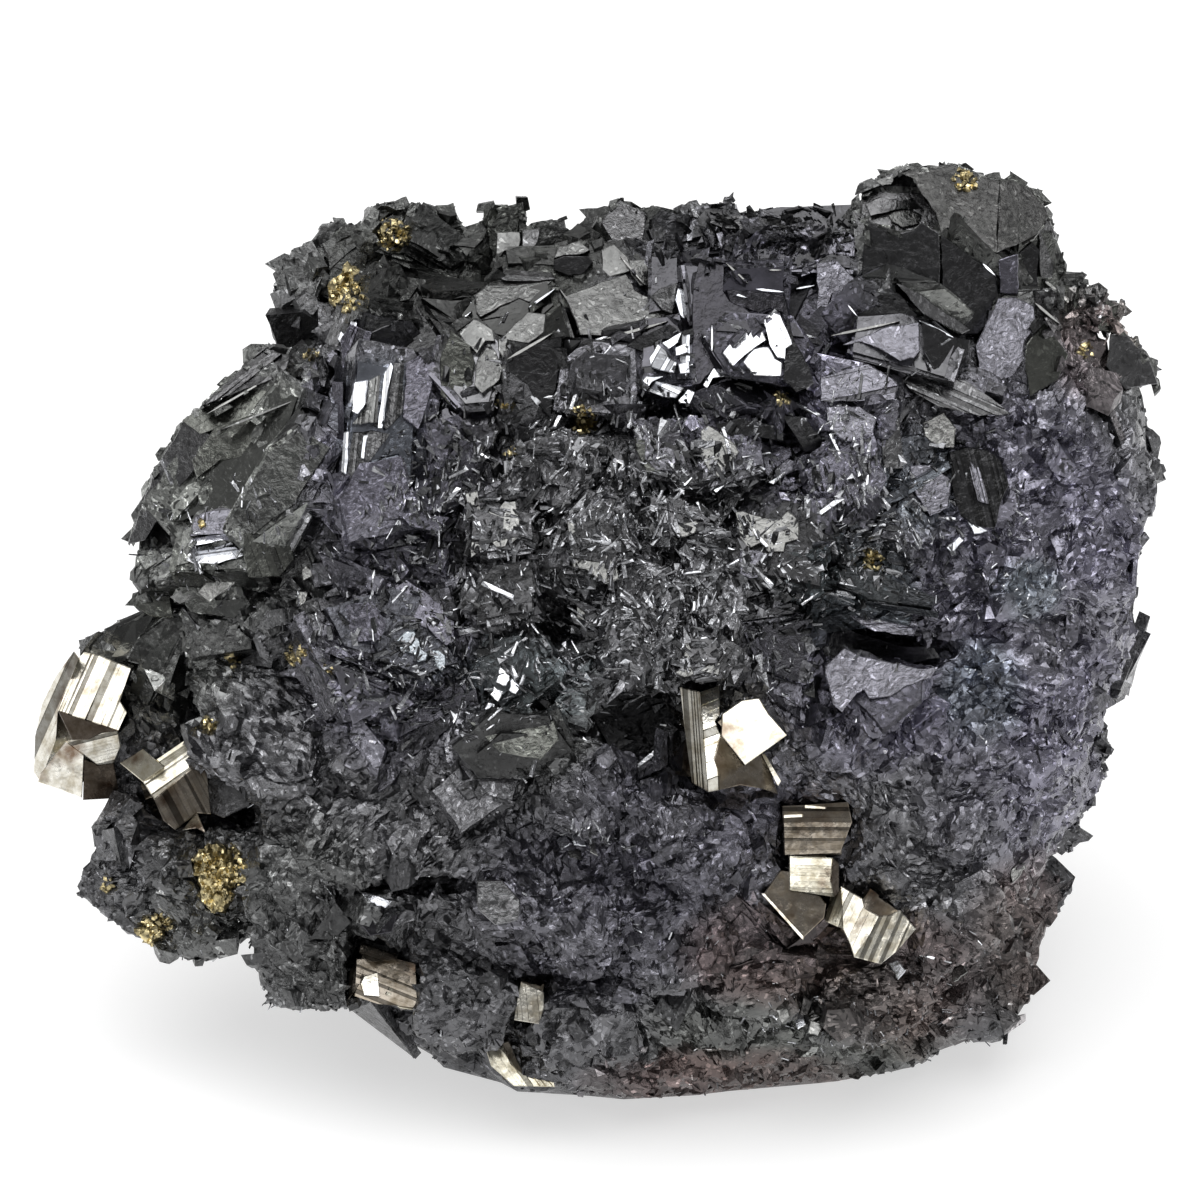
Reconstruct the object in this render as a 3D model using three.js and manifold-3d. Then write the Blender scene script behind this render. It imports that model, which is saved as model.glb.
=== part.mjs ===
// A cabinet specimen of black sphalerite: one mass of intergrown crystals, with cubes of
// pyrite and small patches of chalcopyrite set into it.
//
// Millimetres, +Z up. The specimen rests on its flat broken base at Z = 0, with the origin
// under the middle of its box. It is modelled in the display frame of its crystal-covered
// face, where X runs across the face, Y up it and Z out of it. That face leans back from
// upright by FACE_LEAN, so the display frame is turned into the part's frame at the end.

import * as THREE from "three";
import { ConvexGeometry } from "three/addons/geometries/ConvexGeometry.js";
import { mergeVertices } from "three/addons/utils/BufferGeometryUtils.js";
import Module from "manifold-3d";

const wasm = await Module();
wasm.setup();

// ---------------------------------------------------------------- driving dimensions

const FACE_LEAN = 24; // degrees that the display face leans back from upright
const HEART = new THREE.Vector2(4, -3); // the middle of the outline, on the display face
const RIM_Z = -5; // how far behind the display frame's origin the widest outline lies
const FRONT_DEPTH = 29; // from the rim's plane to the front of the mass
const BACK_DEPTH = 32; // from the rim's plane to the back of the mass
const FRONT_POWER = 2.3; // 2 is a round dome, more is flatter with fuller shoulders
const BACK_POWER = 3.6;
const BASE_DROP = 45.2; // from the display frame's origin down to the flat base
const EYE_DISTANCE = 450; // where the display face is laid out from
const GAP = 0.3; // clearance between a set-in crystal and its pocket

// The outline of the mass, square on to the display face: [across, up].
const OUTLINE = [
  [-42.0, 0], [-45.0, 4], [-43.5, 10.5], [-39.5, 17.5], [-32.5, 24], [-29, 26.5],
  [-24, 31], [-16, 33], [-8, 34], [4, 35], [16, 36], [26, 37],
  [36, 37], [43, 34], [48, 29], [53.5, 24], [56, 16], [55, 5],
  [54.6, -6], [51.5, -16.5], [46, -26], [42, -36], [39.5, -44], [31, -47.5],
  [18, -50.5], [7, -52], [-4, -51.5], [-15, -49.5], [-23, -43], [-30, -39.5],
  [-34.5, -34], [-36, -25], [-38.5, -15], [-40.5, -8],
];

// ---------------------------------------------------------------- small helpers

const rad = THREE.MathUtils.degToRad;
const deg = THREE.MathUtils.radToDeg;

// A repeatable stream of numbers from 0 to 1.
function stream(seed) {
  let state = seed >>> 0;
  return () => {
    state = (state + 0x6d2b79f5) >>> 0;
    let t = Math.imul(state ^ (state >>> 15), 1 | state);
    t = (t + Math.imul(t ^ (t >>> 7), 61 | t)) ^ t;
    return ((t ^ (t >>> 14)) >>> 0) / 4294967296;
  };
}

// A stream of its own for each place, so that a crystal keeps its shape when others change.
const streamAt = (x, y) => stream(Math.round(5000 + 970 * x + 310 * y));

const between = (next, low, high) => low + (high - low) * next();

// The display face is laid out as an eye EYE_DISTANCE in front of it sees it, so the
// nearer a thing stands to the eye, the further in it lies.
function laidOut(across, up, z) {
  const nearer = 1 - z / EYE_DISTANCE;
  return new THREE.Vector3(across * nearer, up * nearer, z);
}

// A closed geometry with shared vertices, as a manifold-3d solid.
function solidOf(geometry) {
  const bare = geometry.clone();
  bare.deleteAttribute("normal");
  bare.deleteAttribute("uv");
  const merged = mergeVertices(bare, 1e-4);
  return new wasm.Manifold(
    new wasm.Mesh({
      numProp: 3,
      vertProperties: merged.attributes.position.array,
      triVerts: new Uint32Array(merged.index.array),
    }),
  );
}

// A manifold-3d solid as a geometry for a mesh.
function geometryOf(solid) {
  const { vertProperties, triVerts } = solid.getMesh();
  const geometry = new THREE.BufferGeometry();
  geometry.setAttribute("position", new THREE.BufferAttribute(vertProperties, 3));
  geometry.setIndex(new THREE.BufferAttribute(triVerts, 1));
  return geometry;
}

const joined = (solids) => solids.reduce((all, one) => all.add(one));

// The largest connected body of a solid, without closed-in voids or loose crumbs.
const mainBody = (solid) =>
  solid.decompose().reduce((best, one) => (one.volume() > best.volume() ? one : best));

// ---------------------------------------------------------------- the mass's surface

const outlineCurve = new THREE.CatmullRomCurve3(
  OUTLINE.map(([x, y]) => new THREE.Vector3(x, y, 0)),
  true,
);
const RIM_POINTS = 28;
const rim = outlineCurve.getSpacedPoints(RIM_POINTS).slice(0, RIM_POINTS);

// Soft swells and hollows, in mm, at a place on the mass.
function swell(x, y, z) {
  const broad = Math.sin(x / 9.1 + 1.3) * Math.sin(y / 7.7 + z / 11 + 0.4);
  const middling = Math.sin(x / 4.3 - y / 5.2 + 2.1) * Math.sin(z / 4.9 + y / 6.1);
  return 1.5 * broad + 0.8 * middling;
}

// How much of the way from the heart to the outline a place on the display face lies.
function share(x, y) {
  const turn = Math.atan2(y - HEART.y, x - HEART.x);
  const ray = new THREE.Vector2(Math.cos(turn), Math.sin(turn));
  for (let i = 0; i < RIM_POINTS; i++) {
    const p = rim[i];
    const q = rim[(i + 1) % RIM_POINTS];
    const edge = new THREE.Vector2(q.x - p.x, q.y - p.y);
    const start = new THREE.Vector2(p.x - HEART.x, p.y - HEART.y);
    const across = ray.x * edge.y - ray.y * edge.x;
    const reach = (start.x * edge.y - start.y * edge.x) / across;
    const along = (start.x * ray.y - start.y * ray.x) / across;
    if (reach > 0 && along >= 0 && along <= 1) {
      return Math.hypot(x - HEART.x, y - HEART.y) / reach;
    }
  }
  return 1;
}

const domeHeight = (part, power) => Math.sqrt(Math.max(0, 1 - part ** power));

// The mass's own front, or back, at a place on the display face, before any crystals.
function frontAt(x, y) {
  return RIM_Z + FRONT_DEPTH * domeHeight(share(x, y), FRONT_POWER);
}

function backAt(x, y) {
  return RIM_Z - BACK_DEPTH * domeHeight(share(x, y), BACK_POWER);
}

// The body that the crystals grow from: rings from the front pole over the rim to the back.
function coreGeometry() {
  const next = stream(11);
  const steps = [0.36, 0.66, 0.88];
  const rings = [
    ...steps.map((part) => [part, FRONT_DEPTH * domeHeight(part, FRONT_POWER)]),
    [1, 0],
    ...steps.toReversed().map((part) => [part, -BACK_DEPTH * domeHeight(part, BACK_POWER)]),
  ];
  const points = [];
  const push = (x, y, z) => {
    const out = new THREE.Vector3(x - HEART.x, y - HEART.y, z - RIM_Z).normalize();
    const lift = swell(x, y, z) + between(next, -0.5, 0.5);
    points.push(x + out.x * lift, y + out.y * lift, z + out.z * lift);
  };
  for (const [part, height] of rings) {
    for (const p of rim) {
      const wander = part < 1 ? between(next, -0.02, 0.02) : 0;
      const reach = part + wander;
      push(
        HEART.x + (p.x - HEART.x) * reach,
        HEART.y + (p.y - HEART.y) * reach,
        RIM_Z + height,
      );
    }
  }
  push(HEART.x, HEART.y, RIM_Z + FRONT_DEPTH);
  push(HEART.x, HEART.y, RIM_Z - BACK_DEPTH);
  const frontPole = rings.length * RIM_POINTS;
  const faces = [];
  for (let j = 0; j < RIM_POINTS; j++) {
    const k = (j + 1) % RIM_POINTS;
    const last = (rings.length - 1) * RIM_POINTS;
    faces.push(frontPole, k, j, frontPole + 1, last + j, last + k);
    for (let i = 0; i + 1 < rings.length; i++) {
      const a = i * RIM_POINTS;
      const b = a + RIM_POINTS;
      faces.push(a + j, a + k, b + j, a + k, b + k, b + j);
    }
  }
  const geometry = new THREE.BufferGeometry();
  geometry.setAttribute("position", new THREE.Float32BufferAttribute(points, 3));
  geometry.setIndex(faces);
  return geometry;
}

// ---------------------------------------------------------------- crystal forms

// The convex solid inside a set of planes, each [nx, ny, nz, distance from the middle].
function insidePlanes(planes) {
  const corners = [];
  const matrix = new THREE.Matrix3();
  const inside = (p) => planes.every(([x, y, z, d]) => x * p.x + y * p.y + z * p.z < d + 1e-6);
  for (let i = 0; i < planes.length; i++) {
    for (let j = i + 1; j < planes.length; j++) {
      for (let k = j + 1; k < planes.length; k++) {
        const [a, b, c] = [planes[i], planes[j], planes[k]];
        matrix.set(a[0], a[1], a[2], b[0], b[1], b[2], c[0], c[1], c[2]);
        if (Math.abs(matrix.determinant()) < 1e-4) continue;
        const corner = new THREE.Vector3(a[3], b[3], c[3]).applyMatrix3(matrix.invert());
        if (inside(corner)) corners.push(corner);
      }
    }
  }
  return new ConvexGeometry(corners);
}

// A face of a crystal: its direction, leaned a little at random, and how far out it lies.
function face(next, x, y, z, distance, wobble = 0.09) {
  const n = new THREE.Vector3(x, y, z).normalize();
  n.x += between(next, -wobble, wobble);
  n.y += between(next, -wobble, wobble);
  n.z += between(next, -wobble, wobble);
  n.normalize();
  return [n.x, n.y, n.z, distance * between(next, 0.94, 1.06)];
}

// Unit forms, about 1 from the middle to each side. Z is the way that the form faces.
const FORMS = {
  // A cube with one or two of its corners cut off by tetrahedron faces.
  block(next) {
    const planes = [];
    for (const way of [-1, 1]) {
      planes.push(face(next, way, 0, 0, 1), face(next, 0, way, 0, 1), face(next, 0, 0, way, 1));
    }
    const way = next() < 0.5 ? 1 : -1;
    const corners = next() < 0.4 ? [[1, way], [-1, -way]] : [[way, 1]];
    for (const [x, y] of corners) {
      planes.push(face(next, x, y, 1, between(next, 1.1, 1.45)));
    }
    return planes;
  },
  // A flat tetrahedron face with its three corners blunted, tapering away behind.
  shield(next) {
    const planes = [face(next, 0, 0, 1, 1, 0.03), face(next, 0, 0, -1, 1)];
    for (let side = 0; side < 3; side++) {
      const turn = rad(-90 + 120 * side);
      planes.push(face(next, Math.cos(turn), Math.sin(turn), -0.35, 0.58));
      planes.push(face(next, -Math.cos(turn), -Math.sin(turn), 0.15, 1.02));
    }
    return planes;
  },
  // A corner of a tetrahedron pointing out, its tip blunted.
  peak(next) {
    const planes = [face(next, 0, 0, 1, 0.95), face(next, 0, 0, -1, 1)];
    for (let side = 0; side < 3; side++) {
      const turn = rad(-90 + 120 * side);
      planes.push(face(next, Math.cos(turn), Math.sin(turn), 0.55, 0.72));
      planes.push(face(next, -Math.cos(turn), -Math.sin(turn), 0, 1));
    }
    return planes;
  },
  // A rounded many-faced grain.
  grain(next) {
    const planes = [];
    for (const [x, y] of [[1, 1], [1, -1], [-1, 1], [-1, -1]]) {
      planes.push(face(next, x, y, 0, 0.95));
    }
    for (const way of [-1, 1]) {
      planes.push(face(next, way, 0, 1, 0.95), face(next, 0, way, 1, 0.95));
    }
    planes.push(face(next, 0, 0, -1, 0.9));
    return planes;
  },
};

// A turn given as [yaw, pitch, roll] in degrees: yaw turns a crystal's front to the right,
// pitch tips it up, and roll spins it as seen from the front.
const turned = ([yaw, pitch, roll]) =>
  new THREE.Matrix4().makeRotationFromEuler(
    new THREE.Euler(rad(-pitch), rad(yaw), rad(roll), "YXZ"),
  );

function crystal(form, [width, height, depth], turn, place, next) {
  return insidePlanes(FORMS[form](next))
    .scale(width / 2, height / 2, depth / 2)
    .applyMatrix4(turned(turn))
    .translate(...place);
}

// ---------------------------------------------------------------- the larger crystals

// Each crystal of the display face and its rim: [form, across, up, width, height, depth,
// yaw, pitch, roll, proud]. Proud is how far its front stands out of the core there.
const FACE_CRYSTALS = [
  // The knot of crystals at the upper left.
  ["block", -24.6, 33.4, 7, 8, 7, -15, 5, -8, 2.2],
  ["block", -20.6, 35.8, 6, 5, 6, 15, 25, -20, 3.0],
  ["block", -17.4, 35.0, 6.4, 4.6, 6, 25, 10, -28, 2.4],
  ["grain", -16.1, 37.3, 4.6, 3.8, 5, 0, 0, -25, 1.0],
  ["shield", -28.8, 31.2, 7.4, 4.8, 6, -15, 15, 70, 2.0],
  ["peak", -21.2, 30.2, 5, 6.6, 7, 20, 10, 15, 4.0],
  ["block", -28.0, 27.2, 6.4, 5.6, 7, -15, -12, 5, 3.0],
  ["block", -21.6, 26.2, 8, 5.4, 7, 20, -16, -12, 4.0],
  ["peak", -28.0, 22.0, 4.8, 4.4, 5, -10, 12, 0, 3.5],
  // The long ledged crystal down the left side, as overlapping leaves.
  ["block", -36.0, 14.2, 7.4, 20, 7, -30, 10, -36, 2.2],
  ["block", -33.4, 12.4, 7.4, 19, 7, -22, 12, -34, 3.4],
  ["block", -30.6, 11.0, 6, 14, 6, -14, 10, -30, 4.2],
  ["block", -41.4, 4.4, 7, 8, 6, -18, 24, 5, 2.4],
  ["block", -36.6, 5.2, 9, 7.6, 7, -12, 22, 0, 4.2],
  ["shield", -38.0, 1.4, 7, 6, 6, -8, -6, 170, 4.2],
  ["block", -37.0, -3.2, 8, 6, 7, -10, 10, 10, 3.0],
  ["grain", -31.0, -2.6, 6.4, 6.4, 7, 10, 0, 0, 3.4],
  // The striated crystal right of it.
  ["block", -21.6, 17.6, 8.8, 13, 8, 14, 6, -9, 4.2],
  ["block", -26.4, 14.0, 5, 11, 6, -12, 8, -9, 3.0],
  ["block", -22.6, 9.2, 7, 7, 6, 6, 10, 14, 3.2],
  ["block", -15.8, 12.5, 5, 9, 7, 25, -5, -6, 3.2],
  // The dark clusters under them.
  ["block", -22.0, -4.6, 12.5, 11.5, 8, 10, 14, 22, 4.0],
  ["block", -33.6, -12.8, 12, 11, 8, -12, 10, -12, 3.2],
  ["block", -13.0, -17.5, 9, 8, 7, 8, 8, 30, 3.4],
  ["shield", -8.5, -13.4, 11, 7, 6, 0, -22, 176, 4.0],
  ["block", -8.0, -6.5, 6.4, 7.4, 6, -18, 10, 35, 3.0],
  ["block", -2.0, -18.5, 8.4, 9, 7, -10, 8, -15, 4.0],
  ["block", 6.6, -20.6, 7, 7, 7, 20, 4, 25, 3.4],
  ["block", 10.4, -24.8, 8, 8, 7, -8, 6, 50, 3.2],
  // The grains and points along the top.
  ["grain", -13.4, 33.4, 5.8, 5.4, 6, 0, 0, 0, 2.2],
  ["block", -9.5, 36.4, 3.4, 6.6, 5, 0, -8, 2, 1.6],
  ["block", -5.8, 35.0, 4.8, 4.8, 6, 10, 0, 12, 2.0],
  ["grain", -2.2, 33.8, 5.0, 4.6, 6, 0, 10, 0, 3.4],
  ["peak", 2.0, 36.6, 5.6, 6.4, 5, 0, 5, 4, 2.2],
  ["block", 6.6, 36.4, 5.2, 4.8, 5, 10, 4, -4, 2.0],
  ["block", 11.2, 36.8, 5.2, 4.4, 5, -10, 6, 6, 1.8],
  ["block", 19.4, 36.2, 13, 4.2, 6, 0, 24, 1, 1.6],
  ["block", 20.0, 33.4, 14, 5, 6, 4, 30, -3, 2.6],
  // The plates that face the light, with the dark steps under their edges.
  ["block", -1.6, 30.2, 17, 8.4, 5, 4, 38, 5, 2.8],
  ["block", -8.6, 26.8, 10, 7, 5, -6, 36, 22, 3.4],
  ["shield", -12.8, 22.4, 7.6, 9, 6, -6, 20, 10, 3.2],
  ["block", -7.2, 20.8, 5.8, 8.6, 6, 12, -8, -6, 3.4],
  ["block", -0.4, 21.6, 7.6, 7.4, 6, 8, 4, -8, 2.8],
  ["block", 4.6, 24.6, 7.4, 6.4, 6, -5, -14, 8, 2.8],
  // The big notched crystal, with the mirror-bright facets at its foot.
  ["block", 12.8, 27.2, 8.6, 13, 8, 14, 2, 2, 3.8],
  ["shield", 15.8, 23.8, 9.6, 7.6, 6, 4, 28, -8, 5.2],
  ["block", 7.2, 23.4, 5, 7, 6, -10, 26, 4, 4.2],
  ["block", 7.4, 30.0, 4.6, 7, 6, -6, 12, -2, 3.4],
  ["grain", 14.4, 19.4, 9, 4.8, 7, 5, 0, -8, 3.8],
  // The great crystal at the upper right and the stepped ones under it.
  ["grain", 37.8, 36.6, 13, 9.4, 9, 10, -8, -18, 3.0],
  ["block", 30.6, 36.6, 7.6, 9.6, 8, -8, -6, -6, 3.4],
  ["block", 36.2, 31.6, 9.4, 9.4, 7, 6, -22, -32, 4.6],
  ["block", 42.0, 33.2, 6.6, 7.6, 7, 30, -5, -10, 2.4],
  ["shield", 29.2, 28.8, 14, 8.6, 7, 4, -20, 0, 5.4],
  ["block", 30.4, 24.6, 11, 5.4, 6, 0, 16, -14, 4.4],
  ["block", 25.0, 19.4, 9.6, 7.6, 7, -4, 12, -10, 3.0],
  ["block", 35.4, 21.0, 10, 3.6, 5, 8, 26, -14, 2.8],
  ["block", 41.0, 25.6, 6.8, 10, 7, 14, 6, -10, 2.4],
  ["block", 48.0, 29.6, 8, 3.8, 5, 15, 10, -24, 1.2],
  ["block", 38.6, 12.0, 5, 8, 5, 12, 4, -8, 1.6],
  ["block", 46.4, 17.0, 9, 9, 6, 34, 16, 20, 1.4],
  ["block", 48.6, 5.0, 9, 11, 6, 36, 4, -12, 1.2],
  // The pale facets across the middle.
  ["block", -10.1, 7.1, 6.6, 6.4, 6, 6, 22, 4, 3.2],
  ["shield", -0.7, 5.0, 8, 8.4, 6, 6, 20, 165, 3.6],
  ["block", 13.0, 14.5, 6.2, 5.6, 6, -8, 18, 14, 3.2],
  ["block", 17.8, 5.2, 8.8, 8.6, 7, -4, 18, -6, 3.2],
  ["block", 6.4, 14.6, 5.4, 5.6, 6, 8, 4, 4, 2.8],
  ["block", 7.8, 7.3, 5.4, 3.2, 4, 0, 26, 6, 3.2],
  ["block", 4.5, -2.5, 6.4, 11, 7, -10, 6, -14, 3.2],
  ["block", 11.0, 1.4, 5.6, 9.4, 7, 12, 4, -12, 3.0],
  ["shield", 10.4, -6.2, 7.4, 5.6, 6, 0, 18, 0, 4.0],
  ["block", -9.2, 0.4, 7, 6.2, 6, -6, 6, 12, 2.8],
  ["block", -5.0, 12.6, 8, 6.6, 6, 10, 14, -16, 2.4],
  ["block", 24.0, 12.4, 7.6, 6.6, 6, 8, -4, 26, 2.0],
  // The fang and the shelf above it.
  ["shield", 28.8, -8.2, 14, 8, 6, -8, 22, -96, 4.6],
  ["block", 27.6, -0.6, 11, 4.2, 5, 6, 40, -14, 3.2],
  ["block", 41.0, -6.0, 8, 6.4, 6, 14, 14, -10, 1.2],
  // The lower blocks.
  ["block", -29.2, -31.6, 9, 17, 8, -16, -2, 6, 4.0],
  ["block", -24.0, -24.4, 9, 8, 7, -6, 10, -14, 3.4],
  ["block", -14.6, -24.2, 12, 7, 7, -4, 4, 4, 3.4],
  ["block", -9.0, -30.4, 7.6, 6.4, 6, 0, 10, -8, 3.0],
  ["peak", -21.6, -30.4, 6, 6, 6, 5, 15, 25, 3.4],
  ["block", -1.5, -32.4, 7.6, 8.4, 7, -6, 2, 18, 3.2],
  ["block", 7.6, -33.4, 9, 8, 7, 8, -6, 22, 3.0],
  ["block", 15.4, -37.6, 10, 7.4, 7, 10, -14, -12, 2.6],
  ["block", 26.6, -39.4, 11, 7, 7, 18, -10, 8, 1.8],
  ["block", -13.4, -39.6, 9, 7.6, 7, -12, -14, -16, 2.8],
  ["block", -2.0, -42.0, 10, 7, 7, 4, -14, 10, 2.0],
  ["block", 34.6, -31.6, 10, 8, 7, 26, -10, 24, 1.8],
];

// Crystals that reach out past the mass's outline, with their own depths:
// [form, across, up, out, width, height, depth, yaw, pitch, roll].
const RIM_CRYSTALS = [
  // The knob at the lower left.
  ["grain", -42.2, -26.6, 0, 15, 14.5, 15, -10, 0, 10],
  ["grain", -44.8, -23.6, 2, 9, 9, 10, -20, 10, 40],
  ["block", -36.2, -28.0, 3, 8, 11, 10, -6, -4, 6],
  ["block", -42.2, -30.6, 2, 9, 6, 9, -10, -15, -6],
  // The arm at the left that carries the pyrite.
  ["block", -45.4, -6.2, -3, 9.5, 8, 8, -12, -6, 20],
  ["block", -45.0, -13.6, -3, 10, 11, 9, -8, -5, -12],
  ["block", -43.6, -5.4, 1, 4.4, 8.6, 5, -16, 5, -28],
  // The corner of the base at the lower right.
  ["block", 35.8, -37.6, -2, 10, 10, 10, 20, -6, -22],
];

// Broken crystals on the back: [form, across, up, width, height, depth, roll, proud].
const BACK_CRYSTALS = [
  ["block", -18, 18, 20, 15, 10, 12, 3.2],
  ["shield", 4, 26, 19, 15, 9, 30, 3.0],
  ["block", 26, 22, 17, 15, 10, -20, 3.4],
  ["block", -33, 2, 13, 18, 9, 8, 2.8],
  ["shield", -12, 0, 20, 17, 9, -25, 3.6],
  ["block", 10, 8, 17, 14, 9, 35, 3.0],
  ["block", 34, 3, 17, 19, 10, 10, 3.4],
  ["block", -24, -18, 16, 17, 9, -14, 3.0],
  ["block", -2, -17, 18, 13, 9, 18, 3.4],
  ["shield", 20, -14, 19, 16, 9, 60, 3.2],
  ["block", 40, -20, 13, 14, 9, -8, 2.6],
  ["block", -14, -34, 15, 13, 8, 5, 2.6],
  ["block", 8, -34, 16, 13, 8, -22, 3.0],
  ["block", 28, -33, 15, 12, 8, 28, 2.8],
  ["block", 44, 18, 12, 14, 8, 22, 2.8],
  ["grain", -6, 12, 10, 9, 6, 0, 4.0],
  ["peak", 12, -24, 10, 9, 6, 0, 4.0],
];

// Broken crystals round the sides and over the top, outward from the rim:
// [turn round the outline in degrees from +X, z, width, height, proud].
const BELT_CRYSTALS = [
  [2, -16, 16, 17, 0.6],
  [24, -12, 13, 15, 0.6],
  [44, -18, 16, 14, 1.2],
  [62, -16, 17, 13, 1.4],
  [84, -15, 18, 13, 1.4],
  [104, -17, 15, 12, 1.6],
  [122, -15, 15, 13, 1.2],
  [142, -14, 14, 15, 0.8],
  [160, -14, 15, 14, 0.8],
  [181, -15, 15, 15, 1.0],
  [203, -16, 14, 13, 1.0],
  [222, -12, 14, 14, 0.6],
  [318, -12, 15, 16, 0.6],
  [340, -14, 15, 16, 0.6],
];

// Hollows between the crystals: [across, up, width, height, depth, roll].
const HOLLOWS = [
  [3.4, -12.4, 8, 6, 8, -12],
  [28.6, -4.4, 12, 3, 8, -12],
  [-4.4, -2.0, 4.6, 6, 7, 20],
  [-17.8, -28.0, 11, 2.6, 5, 4],
  [17.0, 17.0, 9, 2.4, 6, -12],
  [-38.0, -17.6, 5, 5, 8, 10],
  [28.8, 30.2, 7, 3, 7, -6],
];

// ---------------------------------------------------------------- growing the mass

const FILL_STEPS = 90; // places tried for a small crystal between the listed ones
const FILL_EDGE = 0.92; // how far from the heart to the outline they reach
const FILL_ROOM = 7.2; // the clear distance that a small crystal needs round its middle
const BELT_DEPTH = 9; // how far a belt crystal reaches, from outside to inside
const HOLLOW_LIFT = 1.5; // how far outside the core a hollow's middle lies

// The place on the display face, or on the back, and the way that the surface faces there.
function anchor(across, up, onFront = true) {
  const guess = onFront ? frontAt(across, up) : backAt(across, up);
  const { x, y } = laidOut(across, up, guess);
  const place = new THREE.Vector3(x, y, onFront ? frontAt(x, y) : backAt(x, y));
  const out = place.clone().sub(new THREE.Vector3(HEART.x, HEART.y, RIM_Z)).normalize();
  return { place, out, yaw: deg(Math.atan2(out.x, out.z)), pitch: deg(Math.asin(out.y)) };
}

function faceCrystals() {
  return FACE_CRYSTALS.map(([form, across, up, width, height, depth, yaw, pitch, roll, proud]) => {
    const { place } = anchor(across, up);
    place.z += proud - depth / 2;
    const next = streamAt(across, up);
    return solidOf(crystal(form, [width, height, depth], [yaw, pitch, roll], place, next));
  });
}

function rimCrystals() {
  return RIM_CRYSTALS.map(([form, x, y, z, width, height, depth, yaw, pitch, roll]) => {
    const place = laidOut(x, y, z);
    const next = streamAt(x, y);
    return solidOf(crystal(form, [width, height, depth], [yaw, pitch, roll], place, next));
  });
}

function backCrystals() {
  return BACK_CRYSTALS.map(([form, across, up, width, height, depth, roll, proud]) => {
    const next = streamAt(up, across);
    const { place, out, yaw, pitch } = anchor(across, up, false);
    place.addScaledVector(out, proud - depth / 2);
    const turn = [yaw + between(next, -14, 14), pitch + between(next, -14, 14), roll];
    return solidOf(crystal(form, [width, height, depth], turn, place, next));
  });
}

function beltCrystals() {
  const forms = ["block", "shield", "block", "grain"];
  return BELT_CRYSTALS.map(([degrees, z, width, height, proud], i) => {
    const next = streamAt(degrees, z);
    const ray = new THREE.Vector3(Math.cos(rad(degrees)), Math.sin(rad(degrees)), 0);
    const reach = 1 / share(HEART.x + ray.x, HEART.y + ray.y);
    const part = ((RIM_Z - z) / BACK_DEPTH) ** 2;
    const place = new THREE.Vector3(HEART.x, HEART.y, z);
    const surface = reach * (1 - part) ** (1 / BACK_POWER);
    place.addScaledVector(ray, surface + proud - BELT_DEPTH / 2);
    const yaw = ray.x < 0 ? -90 - between(next, 0, 20) : 90 + between(next, 0, 20);
    const turn = [yaw, deg(Math.asin(ray.y)), between(next, -30, 30)];
    const form = forms[i % forms.length];
    return solidOf(crystal(form, [width, height, BELT_DEPTH], turn, place, next));
  });
}

// Small crystals in the gaps between the listed ones, spread by stepping round a sunflower
// spiral. They stand low on the broken right side of the face and bolder elsewhere.
function fillCrystals() {
  const next = stream(61);
  const golden = Math.PI * (3 - Math.sqrt(5));
  const names = ["block", "peak", "grain", "shield"];
  const solids = [];
  for (let i = 0; i < FILL_STEPS; i++) {
    const part = Math.sqrt((i + 0.5) / FILL_STEPS) * FILL_EDGE;
    const spot = rim[Math.floor(((i * golden) / (2 * Math.PI)) * RIM_POINTS) % RIM_POINTS];
    const across = HEART.x + (spot.x - HEART.x) * part;
    const up = HEART.y + (spot.y - HEART.y) * part;
    const near = ([x, y]) => Math.hypot(x - across, y - up) < FILL_ROOM;
    const crystalsHere = FACE_CRYSTALS.some(([, ...place]) => near(place));
    const pyriteHere = Object.values(PYRITE).flat().some(({ at }) => near(at));
    if (crystalsHere || pyriteHere) continue;
    const onBrokenSide = across > 30 && up < 26;
    const proud = onBrokenSide ? between(next, 0.4, 1.4) : between(next, 1, 3);
    const size = between(next, 5, 8.5);
    const size3 = [size * between(next, 0.9, 1.3), size * between(next, 0.7, 1.1), size * 0.8];
    const { place, out, yaw, pitch } = anchor(across, up);
    place.addScaledVector(out, proud - size3[2] / 2);
    const turn = [yaw + between(next, -25, 25), pitch + between(next, -25, 25), 120 * next()];
    solids.push(solidOf(crystal(names[i % names.length], size3, turn, place, next)));
  }
  return solids;
}

function hollows() {
  return HOLLOWS.map(([across, up, width, height, depth, roll]) => {
    const { place } = anchor(across, up);
    place.z += HOLLOW_LIFT;
    const next = streamAt(up, across);
    return solidOf(crystal("peak", [width, height, 2 * depth], [0, 0, roll], place, next));
  });
}

// Everything under the flat base, as a slab turned to lie level when the face leans back.
function underBase() {
  const slab = new THREE.BoxGeometry(300, 300, 100);
  slab.translate(0, 0, -50 - BASE_DROP);
  return solidOf(slab.applyMatrix4(new THREE.Matrix4().makeRotationX(rad(FACE_LEAN - 90))));
}

function growMass() {
  const grown = joined([
    solidOf(coreGeometry()),
    ...faceCrystals(),
    ...rimCrystals(),
    ...backCrystals(),
    ...beltCrystals(),
    ...fillCrystals(),
  ]);
  return mainBody(grown.subtract(joined(hollows())).subtract(underBase()));
}

// ---------------------------------------------------------------- pyrite

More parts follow.
